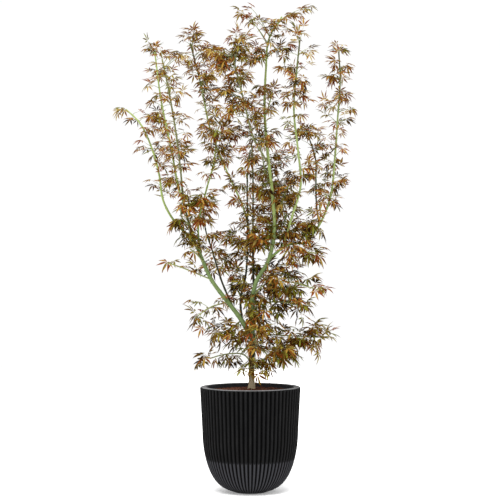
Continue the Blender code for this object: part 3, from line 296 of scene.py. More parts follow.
# More sprays of the same masses, between those and at their tips
INNER_SPRAYS = {
    "left_outer": [(0.70, 0.005, 0, 0.035, 0.035)],
    "left_second": [
        (0.55, -0.030, 0, 0.050, 0.040), (0.27, 0.020, 0, 0.040, 0.050),
        (0.99, -0.010, 0.040, 0.035, 0.020)],
    "left_third": [
        (0.00, 0.010, -0.030, 0.040, 0.040), (0.97, -0.010, 0, 0.035, 0.030),
        (1.00, 0, 0.040, 0.035, 0.025), (0.28, 0.010, 0, 0.045, 0.035)],
    "left_back": [
        (0.75, -0.015, 0, 0.045, 0.040), (0.05, 0.035, 0, 0.045, 0.045),
        (0.00, 0, -0.020, 0.045, 0.040)],
    "left_inner": [
        (0.80, 0.020, 0, 0.045, 0.040), (1.00, 0, 0.035, 0.045, 0.035),
        (1.00, 0.050, -0.010, 0.045, 0.035), (0.00, 0.010, -0.015, 0.045, 0.035)],
    "left_elbow": [(1.00, 0.010, 0.010, 0.040, 0.035)],
    "left_heart": [
        (0.00, -0.005, -0.030, 0.040, 0.035), (1.00, 0.025, 0, 0.040, 0.035),
        (0.30, -0.030, -0.010, 0.035, 0.030)],
    "left_low_outer": [(0.90, 0.020, -0.040, 0.040, 0.030)],
    "left_low_inner": [
        (0.30, 0, -0.025, 0.045, 0.035), (1.00, -0.005, -0.010, 0.045, 0.035),
        (0.80, 0, 0.010, 0.045, 0.035)],
    "left_skirt": [
        (0.30, 0, 0.040, 0.045, 0.030), (0.75, 0, 0.010, 0.045, 0.030),
        (0.95, 0.015, 0, 0.035, 0.015)],
    "front_knot": [(1.00, 0.015, 0.050, 0.050, 0.040)],
    "front_skirt": [(0.80, 0.010, 0.010, 0.055, 0.025)],
    "centre_left_top": [
        (1.00, 0.010, 0.040, 0.035, 0.020), (0.60, -0.020, 0, 0.045, 0.040),
        (0.45, 0.055, -0.010, 0.040, 0.035), (0.85, 0.040, 0.010, 0.045, 0.035)],
    "centre_thin_low": [
        (0.62, -0.015, 0, 0.050, 0.050), (0.05, 0.030, 0, 0.045, 0.045),
        (0.45, 0.035, 0, 0.045, 0.045), (0.20, -0.020, 0, 0.045, 0.045),
        (0.85, 0.010, 0, 0.050, 0.045)],
    "centre_thin_top": [
        (0.55, -0.045, 0, 0.045, 0.040), (0.35, -0.035, 0.005, 0.045, 0.040)],
    "centre_back": [(0.35, 0.030, 0, 0.050, 0.050), (0.02, 0.035, 0, 0.045, 0.040)],
    "centre_front_low": [
        (0.75, -0.045, 0, 0.050, 0.050), (0.38, -0.005, 0, 0.055, 0.045),
        (0.86, 0.025, 0, 0.045, 0.040), (0.10, 0.045, 0.010, 0.045, 0.045),
        (0.55, 0.025, 0, 0.045, 0.040)],
    "centre_front_top": [
        (0.97, 0.045, 0.040, 0.045, 0.030), (0.90, -0.035, -0.030, 0.050, 0.040),
        (0.99, 0.010, 0.055, 0.040, 0.020), (0.30, 0.010, 0, 0.055, 0.045),
        (0.10, -0.045, 0, 0.045, 0.035)],
    "leader_low_left": [(0.70, 0.040, 0, 0.045, 0.040)],
    "leader_low_right": [
        (0.50, -0.045, 0.010, 0.045, 0.040), (1.00, -0.030, 0.030, 0.045, 0.040)],
    "leader_mid_right": [
        (1.00, -0.010, 0.030, 0.045, 0.035), (0.50, 0.020, 0, 0.045, 0.045)],
    "leader_mid": [
        (0.60, 0.060, 0.020, 0.045, 0.040), (0.10, -0.030, -0.010, 0.050, 0.040),
        (0.00, 0.018, 0, 0.045, 0.040)],
    "leader_high": [(1.00, -0.020, 0.010, 0.045, 0.035)],
    "leader_top": [(0.97, 0.080, 0.040, 0.040, 0.020), (0.05, -0.050, 0, 0.040, 0.035)],
    "right_inner_low": [(0.10, -0.020, 0, 0.045, 0.040), (0.38, 0.030, 0, 0.045, 0.035)],
    "right_inner_mid": [(0.62, 0, 0, 0.045, 0.030)],
    "right_outer_mid": [(0.60, -0.030, 0, 0.040, 0.040), (0.00, 0, -0.010, 0.045, 0.040)],
    "right_outer_top": [
        (0.50, 0.015, 0, 0.035, 0.035), (0.42, -0.020, 0, 0.035, 0.035),
        (0.90, -0.005, 0, 0.030, 0.035)],
    "right_back": [(0.96, 0, 0, 0.045, 0.035)],
    "right_heart": [(1.00, 0.030, -0.020, 0.045, 0.035), (0.30, 0, 0, 0.045, 0.035)],
    "right_shelf_top": [
        (0.45, 0, 0.045, 0.060, 0.035), (0.70, -0.010, 0.045, 0.050, 0.030),
        (0.40, 0.010, -0.030, 0.050, 0.040), (0.66, 0.005, -0.035, 0.050, 0.040),
        (0.05, -0.010, -0.035, 0.045, 0.040)],
    "right_shelf_mid": [
        (0.15, 0.010, 0.020, 0.045, 0.035), (0.10, 0.010, -0.045, 0.045, 0.035),
        (0.80, 0, 0.015, 0.040, 0.040), (0.30, 0, -0.040, 0.050, 0.035)],
    "right_shelf_low": [
        (0.48, 0, -0.030, 0.055, 0.040), (0.82, 0, 0.025, 0.045, 0.035),
        (0.76, 0.010, -0.030, 0.045, 0.035)],
    "right_skirt": [(1.00, 0.055, 0.020, 0.045, 0.030), (1.00, 0.030, 0.045, 0.045, 0.035)],
}
SIDE_STEM_FOOT = 0.0052
SIDE_STEM_TIP = 0.0038
SPRAY_DEPTH = 0.8
BARE_FOOT = 0.010

# Bark
LIMB_FULLNESS = 1.08  # knuckles and buds make a cane look this much thicker
TRUNK_STEP = 0.0025  # between the rings of a limb
CANE_STEP = 0.004
SIDE_STEM_STEP = 0.008
KNUCKLE_STEP = 0.052  # between the swellings at a cane's buds
KNUCKLE_RISE = 0.0009
KNUCKLE_REACH = 0.006  # of a swelling along its cane, to each side
LIME = (0.320, 0.400, 0.125)
# Piece: its limbs, one of those limbs again, and its bark's name, colour low down,
# colour high up, colour of its streaks, height of the change and how far that spreads
BARKS = {
    "bough_bark": (
        ["leader", "left_bough"], "leader",
        "bark_bough", (0.150, 0.215, 0.075), LIME, (0.050, 0.065, 0.022), 0.95, 0.30),
    "bright_canes": (
        ["left_outer", "left_second", "left_inner", "right_bough"], "left_second",
        "bark_bright", (0.170, 0.240, 0.062), LIME, (0.080, 0.110, 0.025), 0.98, 0.25),
    "ripe_canes": (
        ["right_inner", "right_outer", "centre_left"], "right_inner",
        "bark_ripe", (0.280, 0.350, 0.120), (0.070, 0.062, 0.026),
        (0.060, 0.075, 0.020), 1.47, 0.18),
    "dull_canes": (
        ["centre_front", "left_third"], "left_third",
        "bark_dull", (0.090, 0.100, 0.036), (0.230, 0.235, 0.095),
        (0.060, 0.055, 0.020), 1.20, 0.5),
    # Painted shade: the canes at the back get a darkened copy of the cane bark.
    "dark_canes": (
        ["left_back", "centre_thin", "centre_back", "right_back"], "left_back",
        "bark_dark", (0.030, 0.032, 0.016), (0.060, 0.070, 0.026),
        (0.012, 0.012, 0.007), 0.95, 0.4),
}

# Shoots and leaves
CANE_LAYERS = 0.82  # leaves lie this many deep over a spray
SIDE_LAYERS = 1.36
FULLNESS = {  # of the masses that are thinner or thicker than the rest
    "left_wisp": 0.3, "left_low_outer": 0.5, "left_skirt": 0.75, "left_outer": 0.75,
    "left_inner": 1.15, "leader_top": 1.05, "leader_low_left": 1.4, "leader_low_right": 1.2,
    "leader_mid_right": 1.25, "centre_thin_low": 1.3, "centre_thin_top": 0.85,
    "centre_front_top": 1.25, "right_inner_mid": 0.8, "right_outer_mid": 0.95,
    "right_outer_top": 0.95, "right_cane_foot": 0.65, "right_heart": 1.2,
    "right_orange": 1.4, "right_shelf_low": 0.85, "right_shelf_mid": 0.75,
    "right_shelf_top": 1.1, "right_skirt": 1.5,
}
OPEN_TIP = 0.45  # share of the leaves that grow on the last spray of a side stem
OPEN_TIPS = {  # the same share, where a mass has its own
    "left_outer": 0.5, "left_skirt": 0.0, "leader_top": 0.8, "right_orange": 0.8,
    "right_shelf_low": 0.15, "right_shelf_mid": 0.0, "right_shelf_top": 0.15,
}
STUB = 0.8  # of a side stem stands where its tip carries no spray
LEAF_COVER = 0.262  # ground that one leaf covers, in squares of its reach
LEAF_LOW = 0.0465  # reach of the leaves low on the tree
LEAF_HIGH = 0.036  # and at its top
LEAF_LOW_HEIGHT = 0.70
LEAF_HIGH_HEIGHT = 1.20
LEAF_SIZES = (0.8, 1.15)  # smallest and largest, as shares of that reach
LEAF_UNEVENNESS = 0.010
WOOD_STEP = 0.006  # between the points of a stem where shoots may start
SHOOT_STEP = 0.010  # between the points of a shoot
SHOOT_LEAN = 0.45  # a shoot leaves its stem this share of its own length further down
SHOOT_RISE = 0.20
SHOOT_FOOT = 0.0013
SHOOT_TIP = 0.0006
NODE_STEP = 0.019
BUD_STEP = 0.036  # between the pairs of buds along a cane
BUD_SHOOT = (0.014, 0.050)
STALK_RADIUS = 0.00045
STALK_SHARE = 0.40  # length of a leaf's stalk, as a share of its reach
OVERHANG = 0.010  # a leaf's tip may stand out this far beyond the solids' box

# A tint's light lobes, dark lobes (its painted shade), and how often it is dealt low down and high up
TINTS = {
    "rust": ((0.308, 0.178, 0.035), (0.172, 0.044, 0.006), 4.5, 9),
    "bronze": ((0.252, 0.160, 0.028), (0.136, 0.045, 0.006), 5, 6),
    "olive": ((0.212, 0.170, 0.025), (0.108, 0.055, 0.006), 5.5, 3),
    "moss": ((0.165, 0.168, 0.021), (0.078, 0.053, 0.006), 5.5, 1.2),
    "straw": ((0.350, 0.265, 0.072), (0.232, 0.122, 0.021), 0.6, 3.0),
    "wine": ((0.228, 0.085, 0.020), (0.122, 0.020, 0.005), 0.9, 2.0),
    # Painted shade: a very dark tint, dealt among the leaves for the shade between them.
    "umber": ((0.086, 0.051, 0.008), (0.029, 0.012, 0.003), 5.5, 1.5),
}
TINT_LOW_HEIGHT = 0.65
TINT_HIGH_HEIGHT = 1.45
STRAY_TINT = 0.75  # share of leaves that are dealt a tint of their own, not their spray's
PIECE_LEAVES = 1300  # at most, in one piece


# ------------------------------------------------------------------- making in general

class Graph:
    """A tree of nodes, for a material or for a shape, built one node at a time."""

    def __init__(self, tree, **inputs):
        self.tree = tree
        if tree.bl_idname == "GeometryNodeTree":
            face = tree.interface
            face.new_socket("Geometry", in_out="OUTPUT", socket_type="NodeSocketGeometry")
            face.new_socket("Geometry", in_out="INPUT", socket_type="NodeSocketGeometry")
            for label, kind in inputs.items():
                title = label.replace("_", " ").title()
                face.new_socket(title, in_out="INPUT", socket_type="NodeSocket" + kind)
            self.given = tree.nodes.new("NodeGroupInput").outputs
            self.made = tree.nodes.new("NodeGroupOutput").inputs

    def node(self, kind, inputs=None, **settings):
        node = self.tree.nodes.new(kind)
        for key, value in settings.items():
            setattr(node, key, value)
        for key, value in (inputs or {}).items():
            if isinstance(value, bpy.types.NodeSocket):
                self.tree.links.new(value, node.inputs[key])
            else:
                node.inputs[key].default_value = value
        return node

    def math(self, operation, a, b=0.0, c=0.0, clamp=False):
        return self.node(
            "ShaderNodeMath", {0: a, 1: b, 2: c}, operation=operation, use_clamp=clamp).outputs[0]

    def vector(self, operation, a, b):
        key = 3 if operation == "SCALE" else 1
        return self.node("ShaderNodeVectorMath", {0: a, key: b}, operation=operation).outputs[0]

    def attribute(self, name, kind="FLOAT"):
        found = self.node("GeometryNodeInputNamedAttribute", {"Name": name}, data_type=kind)
        return found.outputs["Attribute"]

    def height(self):
        """Height over the ground, for a material."""
        return self.node("ShaderNodeSeparateXYZ", {0: self.place}).outputs[2]

    def position(self):
        return self.node("GeometryNodeInputPosition").outputs[0]

    def skin(self, curve, sides):
        """A round skin along a curve, as thick as the radius that its points carry."""
        ring = self.node("GeometryNodeCurvePrimitiveCircle", {
            "Resolution": self.given[sides], "Radius": 1.0})
        return self.node("GeometryNodeCurveToMesh", {
            "Curve": curve, "Profile Curve": ring.outputs[0], "Fill Caps": True,
            "Scale": self.node("GeometryNodeInputRadius").outputs[0]}).outputs[0]

    def push(self, geometry, offset):
        return self.node(
            "GeometryNodeSetPosition", {"Geometry": geometry, "Offset": offset}).outputs[0]

    def even(self, geometry):
        return self.node("GeometryNodeSetShadeSmooth", {"Geometry": geometry}).outputs[0]

    def finish(self, geometry, paint):
        """Make every copy real and give it its material."""
        real = self.node("GeometryNodeRealizeInstances", {"Geometry": geometry})
        done = self.node(
            "GeometryNodeSetMaterial", {"Geometry": real.outputs[0], "Material": paint})
        self.tree.links.new(done.outputs[0], self.made[0])
        return done


def shape_tree(name, **inputs):
    return Graph(bpy.data.node_groups.new(name, "GeometryNodeTree"), **inputs)


def grown(obj, graph, name, values):
    """Run a tree of shape nodes on an object and keep the result as a plain mesh."""
    modifier = obj.modifiers.new(name, "NODES")
    modifier.node_group = graph.tree
    sockets = {s.name: s.identifier for s in graph.tree.interface.items_tree}
    for label, value in values.items():
        modifier[sockets[label.replace("_", " ").title()]] = value
    depsgraph = bpy.context.evaluated_depsgraph_get()
    mesh = bpy.data.meshes.new_from_object(obj.evaluated_get(depsgraph))
    mesh.name = name
    bpy.data.objects.remove(obj, do_unlink=True)
    return shown(name, mesh)


def shown(name, data):
    obj = bpy.data.objects.new(name, data)
    bpy.context.scene.collection.objects.link(obj)
    return obj


def shown_mesh(name, bm):
    """An object of the faces in bm, which is then freed."""
    mesh = bpy.data.meshes.new(name)
    bm.to_mesh(mesh)
    bm.free()
    return shown(name, mesh)


def stand_for(obj, slot, *nodes):
    """Put a finished piece on the plant, in place of the solids that it shows."""
    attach(obj, "root")
    if nodes:
        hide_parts(*nodes)


def share_between(value, low, high):
    return min(max((value - low) / (high - low), 0), 1)


def smooth(mesh):
    mesh.polygons.foreach_set("use_smooth", [True] * len(mesh.polygons))


def material(name, colour=(0.5, 0.5, 0.5), roughness=0.6, specular=0.5):
    """A material and its graph, with its plain values set on the shader."""
    made = bpy.data.materials.new(name)
    made.use_nodes = True
    graph = Graph(made.node_tree)
    shader = made.node_tree.nodes["Principled BSDF"]
    shader.inputs["Base Color"].default_value = (*colour, 1)
    shader.inputs["Roughness"].default_value = roughness
    shader.inputs["Specular IOR Level"].default_value = specular
    graph.shader = shader
    graph.place = graph.node("ShaderNodeTexCoord").outputs["Object"]
    return made, graph


def noise(graph, scale, stretch=(1, 1, 1), detail=4.0, roughness=0.5):
    """Cloudy values round a half, on the piece's own coordinates."""
    place = graph.vector("MULTIPLY", graph.place, stretch)
    found = graph.node("ShaderNodeTexNoise", {
        "Vector": place, "Scale": scale, "Detail": detail, "Roughness": roughness})
    return found.outputs[0]


def ramp(graph, value, *stops):
    """Colours along a value, each stop a place and a colour."""
    node = graph.node("ShaderNodeValToRGB", {0: value})
    band = node.color_ramp
    while len(band.elements) < len(stops):
        band.elements.new(0.5)
    for element, (place, colour) in zip(band.elements, stops):
        element.position = place
        element.color = (*colour, 1)
    return node.outputs[0]


def mixed(graph, share, a, b):
    node = graph.node("ShaderNodeMix", data_type="RGBA")
    for socket, value in zip((node.inputs[0], node.inputs[6], node.inputs[7]), (share, a, b)):
        if isinstance(value, bpy.types.NodeSocket):
            graph.tree.links.new(value, socket)
        else:
            socket.default_value = value if isinstance(value, float) else (*value, 1)
    return node.outputs[2]


def coloured(graph, colour):
    graph.tree.links.new(colour, graph.shader.inputs["Base Color"])


def roughened(graph, value):
    graph.tree.links.new(value, graph.shader.inputs["Roughness"])


def bumped(graph, height, strength, distance):
    bump = graph.node(
        "ShaderNodeBump", {"Height": height, "Strength": strength, "Distance": distance})
    graph.tree.links.new(bump.outputs[0], graph.shader.inputs["Normal"])


# ------------------------------------------------------------------ camera, light, floor

def light_scene():
    scene = bpy.context.scene
    camera = bpy.data.objects.new("camera", bpy.data.cameras.new("camera"))
    camera.data.lens = LENS
    camera.location = EYE
    camera.rotation_euler = (math.radians(90), 0, 0)
    scene.collection.objects.link(camera)
    scene.camera = camera
    scene.view_settings.view_transform = "Standard"
    world = bpy.data.worlds.new("studio")
    world.use_nodes = True
    sky = world.node_tree.nodes["Background"]
    sky.inputs["Color"].default_value = (1, 1, 1, 1)
    sky.inputs["Strength"].default_value = SKY_STRENGTH
    scene.world = world
    sun = bpy.data.lights.new("soft key", "SUN")
    sun.energy = SUN_STRENGTH
    sun.angle = math.radians(SUN_SIZE)
    lamp = bpy.data.objects.new("soft key", sun)
    lamp.rotation_euler = [math.radians(a) for a in SUN_TURN]
    scene.collection.objects.link(lamp)


def make_floor():
    bm = bmesh.new()
    bmesh.ops.create_grid(bm, x_segments=1, y_segments=1, size=FLOOR_HALF)
    floor = shown_mesh("studio_floor", bm)
    white, graph = material("studio_white", (0.93, 0.93, 0.93), 0.9, 0.1)
    graph.shader.inputs["Emission Color"].default_value = (1, 1, 1, 1)
    graph.shader.inputs["Emission Strength"].default_value = FLOOR_GLOW
    floor.data.materials.append(white)


# ----------------------------------------------------------------------- planter, soil

def pot_radius(z):
    """Outer radius of the planter at the crests of its ribs."""
    if z >= BOWL_HEIGHT:
        share = (z - BOWL_HEIGHT) / (POT_HEIGHT - BOWL_HEIGHT)
        return BOWL_RADIUS + (RIM_RADIUS - BOWL_RADIUS) * share
    curve = 1 - (1 - z / BOWL_HEIGHT) ** BOWL_ROUNDNESS
    return (BOWL_RADIUS + BOWL_DRAW_IN) * curve ** (1 / BOWL_SQUARENESS) - BOWL_DRAW_IN


def turned(name, profile, steps):
    """A profile of (radius, height), from the axis to the axis, turned about Z."""
    bm = bmesh.new()
    line = [bm.verts.new((r, 0, z)) for r, z in profile]
    edges = [bm.edges.new(pair) for pair in zip(line, line[1:])]
    bmesh.ops.spin(
        bm, geom=line + edges, cent=(0, 0, 0), axis=(0, 0, 1), angle=math.tau, steps=steps,
        use_merge=True)
    bmesh.ops.remove_doubles(bm, verts=bm.verts, dist=1e-5)
    bmesh.ops.recalc_face_normals(bm, faces=bm.faces)
    return shown_mesh(name, bm)


def rounded(centre, radius, start, end, steps):
    """Points of an arc, its angles in degrees from outwards towards up."""
    angles = [math.radians(start + (end - start) * i / steps) for i in range(steps + 1)]
    return [
        (centre[0] + radius * math.cos(a), centre[1] + radius * math.sin(a)) for a in angles]


def planter_paint():
    """Black fibre clay, a little dusty on its ribs, painted shade in its grooves, its rim's top worn
    grey and painted sheen.
    """
    paint, graph = material("planter_black", (0.005, 0.005, 0.005), 0.75, 0.04)
    dust = noise(graph, 45.0, (1, 1, 0.35), 6.0, 0.65)
    black = ramp(
        graph, dust, (0.30, (0.0060, 0.0060, 0.0062)), (0.55, (0.0092, 0.0092, 0.0095)),
        (0.85, (0.0140, 0.0140, 0.0143)))
    groove = graph.node("ShaderNodeAttribute", attribute_name="groove").outputs["Fac"]
    radius = graph.node("ShaderNodeVectorMath", {
        0: graph.vector("MULTIPLY", graph.place, (1, 1, 0))}, operation="LENGTH").outputs["Value"]
    lining = graph.math("LESS_THAN", radius, MOUTH_RADIUS + LIP_INNER_ROUNDING)
    black = mixed(graph, lining, black, (0.034, 0.034, 0.038))
    # Painted shade: the grooves between the ribs are darkened to near black.
    groove_shade = graph.math("MULTIPLY", groove, 2.2, clamp=True)
    black = mixed(graph, groove_shade, black, (0.0002, 0.0002, 0.0002))
    # The rim's top face is lighter grey in patches: partly wear, partly painted sheen.
    on_top = graph.math("GREATER_THAN", graph.height(), POT_HEIGHT - 0.0012)
    rim_wear_and_sheen = graph.math("MULTIPLY_ADD", noise(graph, 60.0, detail=5.0), 1.6, -0.25, clamp=True)
    rim_grey_and_sheen = mixed(graph, rim_wear_and_sheen, (0.060, 0.060, 0.061), (0.200, 0.200, 0.203))
    coloured(graph, mixed(graph, on_top, black, rim_grey_and_sheen))
    pits = noise(graph, 260.0, (1, 1, 1), 5.0, 0.7)
    roughened(graph, graph.math("MULTIPLY_ADD", pits, 0.25, 0.60))
    bumped(graph, pits, 0.35, 0.0006)
    return paint


def rib_tree():
    """Pushes grooves into a turned wall, so that round ribs stand between them."""
    graph = shape_tree(
        "planter ribs", rib_count="Float", rib_depth="Float", rib_paint="Material")
    parts = graph.node("ShaderNodeSeparateXYZ", {0: graph.position()}).outputs
    turn = graph.math("ARCTAN2", parts[1], parts[0])
    half = graph.math("MULTIPLY", graph.math("MULTIPLY", turn, graph.given["Rib Count"]), 0.5)
    ridge = graph.math("ABSOLUTE", graph.math("COSINE", half))
    groove = graph.math("SUBTRACT", 1.0, graph.math("POWER", ridge, 0.75))
    depth = graph.math("MULTIPLY", groove, graph.given["Rib Depth"])
    ribbed = graph.attribute("ribbed")
    depth = graph.math("MULTIPLY", depth, ribbed)
    # Each point's share of a groove is kept as an attribute too, for the planter's painted shade in
    # the grooves.
    marked = graph.node("GeometryNodeStoreNamedAttribute", {
        "Geometry": graph.given["Geometry"], "Name": "groove",
        "Value": graph.math("MULTIPLY", groove, ribbed)}, data_type="FLOAT")
    outward = graph.node("ShaderNodeCombineXYZ", {0: parts[0], 1: parts[1]}).outputs[0]
    outward = graph.node("ShaderNodeVectorMath", {0: outward}, operation="NORMALIZE").outputs[0]
    inward = graph.vector("SCALE", outward, graph.math("MULTIPLY", depth, -1.0))
    graph.finish(graph.push(marked.outputs[0], inward), graph.given["Rib Paint"])
    return graph


def make_planter():
    lip_foot = POT_HEIGHT - LIP_ROUNDING
    inner_lip = MOUTH_RADIUS + LIP_INNER_ROUNDING, POT_HEIGHT - LIP_INNER_ROUNDING
    profile = [(0, BORE[0][0])] + [(r, z) for z, r in BORE[:-1]]
    profile += rounded(inner_lip, LIP_INNER_ROUNDING, 180, 90, 4)
    profile += rounded((RIM_RADIUS - LIP_ROUNDING, lip_foot), LIP_ROUNDING, 90, 0, 6)
    wall = [lip_foot * (1 - (i / WALL_ROWS) ** ROW_CROWDING) for i in range(1, WALL_ROWS)]
    profile += [(pot_radius(z), z) for z in wall if pot_radius(z) > BASE_RADIUS + BASE_EDGE]
    profile += [(BASE_RADIUS, 0), (0, 0)]
    obj = turned("planter_body", profile, RIBS * STEPS_PER_RIB)
    mesh = obj.data
    ribbed = mesh.attributes.new("ribbed", "FLOAT", "POINT")
    rib_top = POT_HEIGHT - RIB_END
    for vert, mark in zip(mesh.vertices, ribbed.data):
        radius = math.hypot(vert.co.x, vert.co.y)
        z = vert.co.z
        on_wall = radius > max(BASE_RADIUS + BASE_MARGIN, pot_radius(max(z, 1e-6)) - WALL_DEPTH)
        if on_wall and z < rib_top:
            mark.value = min(1, (rib_top - z) / LIP_ROUNDING) * min(1, z / RIB_FADE_FOOT)
    smooth(mesh)
    piece = grown(obj, rib_tree(), "planter_body", {
        "rib_count": float(RIBS), "rib_depth": RIB_DEPTH, "rib_paint": planter_paint()})
    stand_for(piece, "planter", "planter")


def soil_paint(name, dark, light):
    paint, graph = material(name, dark, 0.95, 0.1)
    crumbs = noise(graph, 140.0, (1, 1, 1), 6.0, 0.7)
    coloured(graph, ramp(graph, crumbs, (0.32, dark), (0.70, light)))
    bumped(graph, crumbs, 0.8, 0.002)
    return paint


def crumb_tree():
    """Scatters small lumps of bark and peat over the soil."""
    graph = shape_tree(
        "soil crumbs", crumb="Object", density="Float", smallest="Float", largest="Float",
        crumb_seed="Int", crumb_paint="Material")
    strewn = graph.node("GeometryNodeDistributePointsOnFaces", {
        "Mesh": graph.given["Geometry"], "Density": graph.given["Density"],
        "Seed": graph.given["Crumb Seed"]})
    turn = graph.node("FunctionNodeRandomValue", {
        0: (0, 0, 0), 1: (math.tau, math.tau, math.tau), "Seed": graph.given["Crumb Seed"]},
        data_type="FLOAT_VECTOR")
    size = graph.node("FunctionNodeRandomValue", {
        2: graph.given["Smallest"], 3: graph.given["Largest"],
        "Seed": graph.given["Crumb Seed"]})
    crumb = graph.node("GeometryNodeObjectInfo", {"Object": graph.given["Crumb"]})
    laid = graph.node("GeometryNodeInstanceOnPoints", {
        "Points": strewn.outputs["Points"], "Instance": crumb.outputs["Geometry"],
        "Rotation": turn.outputs[0], "Scale": size.outputs[1]})
    graph.finish(laid.outputs[0], graph.given["Crumb Paint"])
    return graph


def make_soil():
    low, wide = BORE[1]
    edge = wide + (MOUTH_RADIUS - wide) * (SOIL_TOP - SOIL_RISE - low) / (POT_HEIGHT - low)
    profile = [
        (r, SOIL_TOP - SOIL_RISE * (r / edge) ** 2 + SOIL_MOUND * (1 - r / edge))
        for r in (edge * i / SOIL_RINGS for i in range(SOIL_RINGS))]
    profile += [(edge - 0.0005, SOIL_TOP - SOIL_RISE)]
    profile += [(edge - 0.004, SOIL_TOP - SOIL_DEPTH), (0, SOIL_TOP - SOIL_DEPTH)]
    obj = turned("soil_bed", profile, 120)
    rng = random.Random("soil bed")
    waves = [(rng.uniform(30, 140), rng.uniform(0, math.tau), rng.uniform(0, math.tau))
             for _ in range(SOIL_WAVES)]
    for vert in obj.data.vertices:
        radius = math.hypot(vert.co.x, vert.co.y)
        if vert.co.z > SOIL_TOP - 0.01 and 0.014 < radius < edge - 0.003:
            lift = sum(math.sin(f * (vert.co.x * math.cos(a) + vert.co.y * math.sin(a)) + p)
                       for f, a, p in waves)
            vert.co.z += SOIL_WAVE_HEIGHT * lift
    smooth(obj.data)
    obj.data.materials.append(
        soil_paint("soil_dark", (0.008, 0.004, 0.003), (0.030, 0.013, 0.008)))
    top = turned("crumb_ground", [
        (0.020, SOIL_TOP + SOIL_MOUND), (edge - 0.006, SOIL_TOP - SOIL_RISE)], 60)
    bm = bmesh.new()
    bmesh.ops.create_icosphere(bm, subdivisions=1, radius=1)
    for vert in bm.verts:
        vert.co *= rng.uniform(0.7, 1.2)
        vert.co.z *= 0.6
    crumb = shown_mesh("crumb", bm)
    crumbs = grown(top, crumb_tree(), "soil_crumbs", {
        "crumb": crumb, "density": CRUMB_DENSITY, "smallest": CRUMB_SMALL,
        "largest": CRUMB_LARGE, "crumb_seed": 7,
        "crumb_paint": soil_paint("soil_crumb", (0.012, 0.006, 0.004), (0.190, 0.072, 0.042))})
    bpy.data.objects.remove(crumb, do_unlink=True)
    stand_for(obj, "soil", "soil")
    stand_for(crumbs, "soil", "soil")


# ----------------------------------------------------------------------- paths of stems

def curve_point(before, start, end, after, share):
    """A point of the centripetal Catmull-Rom curve from start to end."""
    t0 = 0.0
    t1 = t0 + math.sqrt((start - before).length)
    t2 = t1 + math.sqrt((end - start).length)
    t3 = t2 + math.sqrt((after - end).length)
    t = t1 + (t2 - t1) * share

    def mix(a, b, ta, tb):
        return a * ((tb - t) / (tb - ta)) + b * ((t - ta) / (tb - ta))

    first, second, third = mix(before, start, t0, t1), mix(start, end, t1, t2), mix(end, after, t2, t3)
    return mix(mix(first, second, t0, t2), mix(second, third, t1, t3), t1, t2)


class Path:
    """The centre line of a stem, which tapers from its foot to its tip."""

    def __init__(self, points, foot_diameter, tip_diameter, flared=False):
        ends = [points[0] * 2 - points[1]], [points[-1] * 2 - points[-2]]
        row = ends[0] + points + ends[1]
        self.points = [points[0]]
        for i in range(1, len(row) - 2):
            for k in range(1, 13):
                self.points.append(curve_point(*row[i - 1:i + 3], k / 12))
        self.along = [0.0]
        for a, b in zip(self.points, self.points[1:]):
            self.along.append(self.along[-1] + (b - a).length)
        self.length = self.along[-1]
        self.diameters = foot_diameter, tip_diameter
        self.flared = flared

    def at(self, share):
        distance = min(max(share, 0), 1) * self.length
        for i in range(len(self.along) - 2):
            if self.along[i + 1] >= distance:
                break
        step = self.along[i + 1] - self.along[i]
        return self.points[i].lerp(self.points[i + 1], (distance - self.along[i]) / step)

    def radius(self, share):
        foot, tip = self.diameters
        flare = FLARE * math.exp(-share * self.length / FLARE_HEIGHT) if self.flared else 0
        return (foot + (tip - foot) * share) / 2 + flare

    def clears(self, point, margin):
        nearest = min((point - centre).length for centre in self.points)
        return nearest > self.diameters[0] / 2 + margin

    def share_at_height(self, z):
        for i in range(len(self.points) - 1):
            if self.points[i + 1].z >= z:
                low, high = self.points[i].z, self.points[i + 1].z
                part = max(0, (z - low) / (high - low))
                return (self.along[i] + part * (self.along[i + 1] - self.along[i])) / self.length
        return 1.0


def make_paths():
    """Every stem's centre line.  A side stem has the name of its mass after "side"."""
    stems = dict(STEMS)
    for name, (parent, height, points, _) in SIDE_FOLIAGE.items():
        stems["side " + name] = parent, height, points, SIDE_STEM_FOOT, SIDE_STEM_TIP
    paths = {}
    for name, (parent, height, points, foot, tip) in stems.items():
        if parent:
            first = paths[parent].at(paths[parent].share_at_height(height))
        else:
            first = Vector((points[0][0], points[0][1], height + CLEARANCE))
        points = [first] + [Vector(p) for p in points]
        paths[name] = Path(points, foot, tip, flared=parent is None)
    return paths


def lines_object(name, lines):
    """Open lines of (point, radius), as one curve for a tree of shape nodes."""
    curve = bpy.data.curves.new(name, "CURVE")
    curve.dimensions = "3D"
    for line in lines:
        spline = curve.splines.new("POLY")
        spline.points.add(len(line) - 1)
        for point, (place, radius) in zip(spline.points, line):
            point.co = (*place, 1)
            point.radius = radius
    return shown(name, curve)


# ------------------------------------------------------------------------- bark, limbs

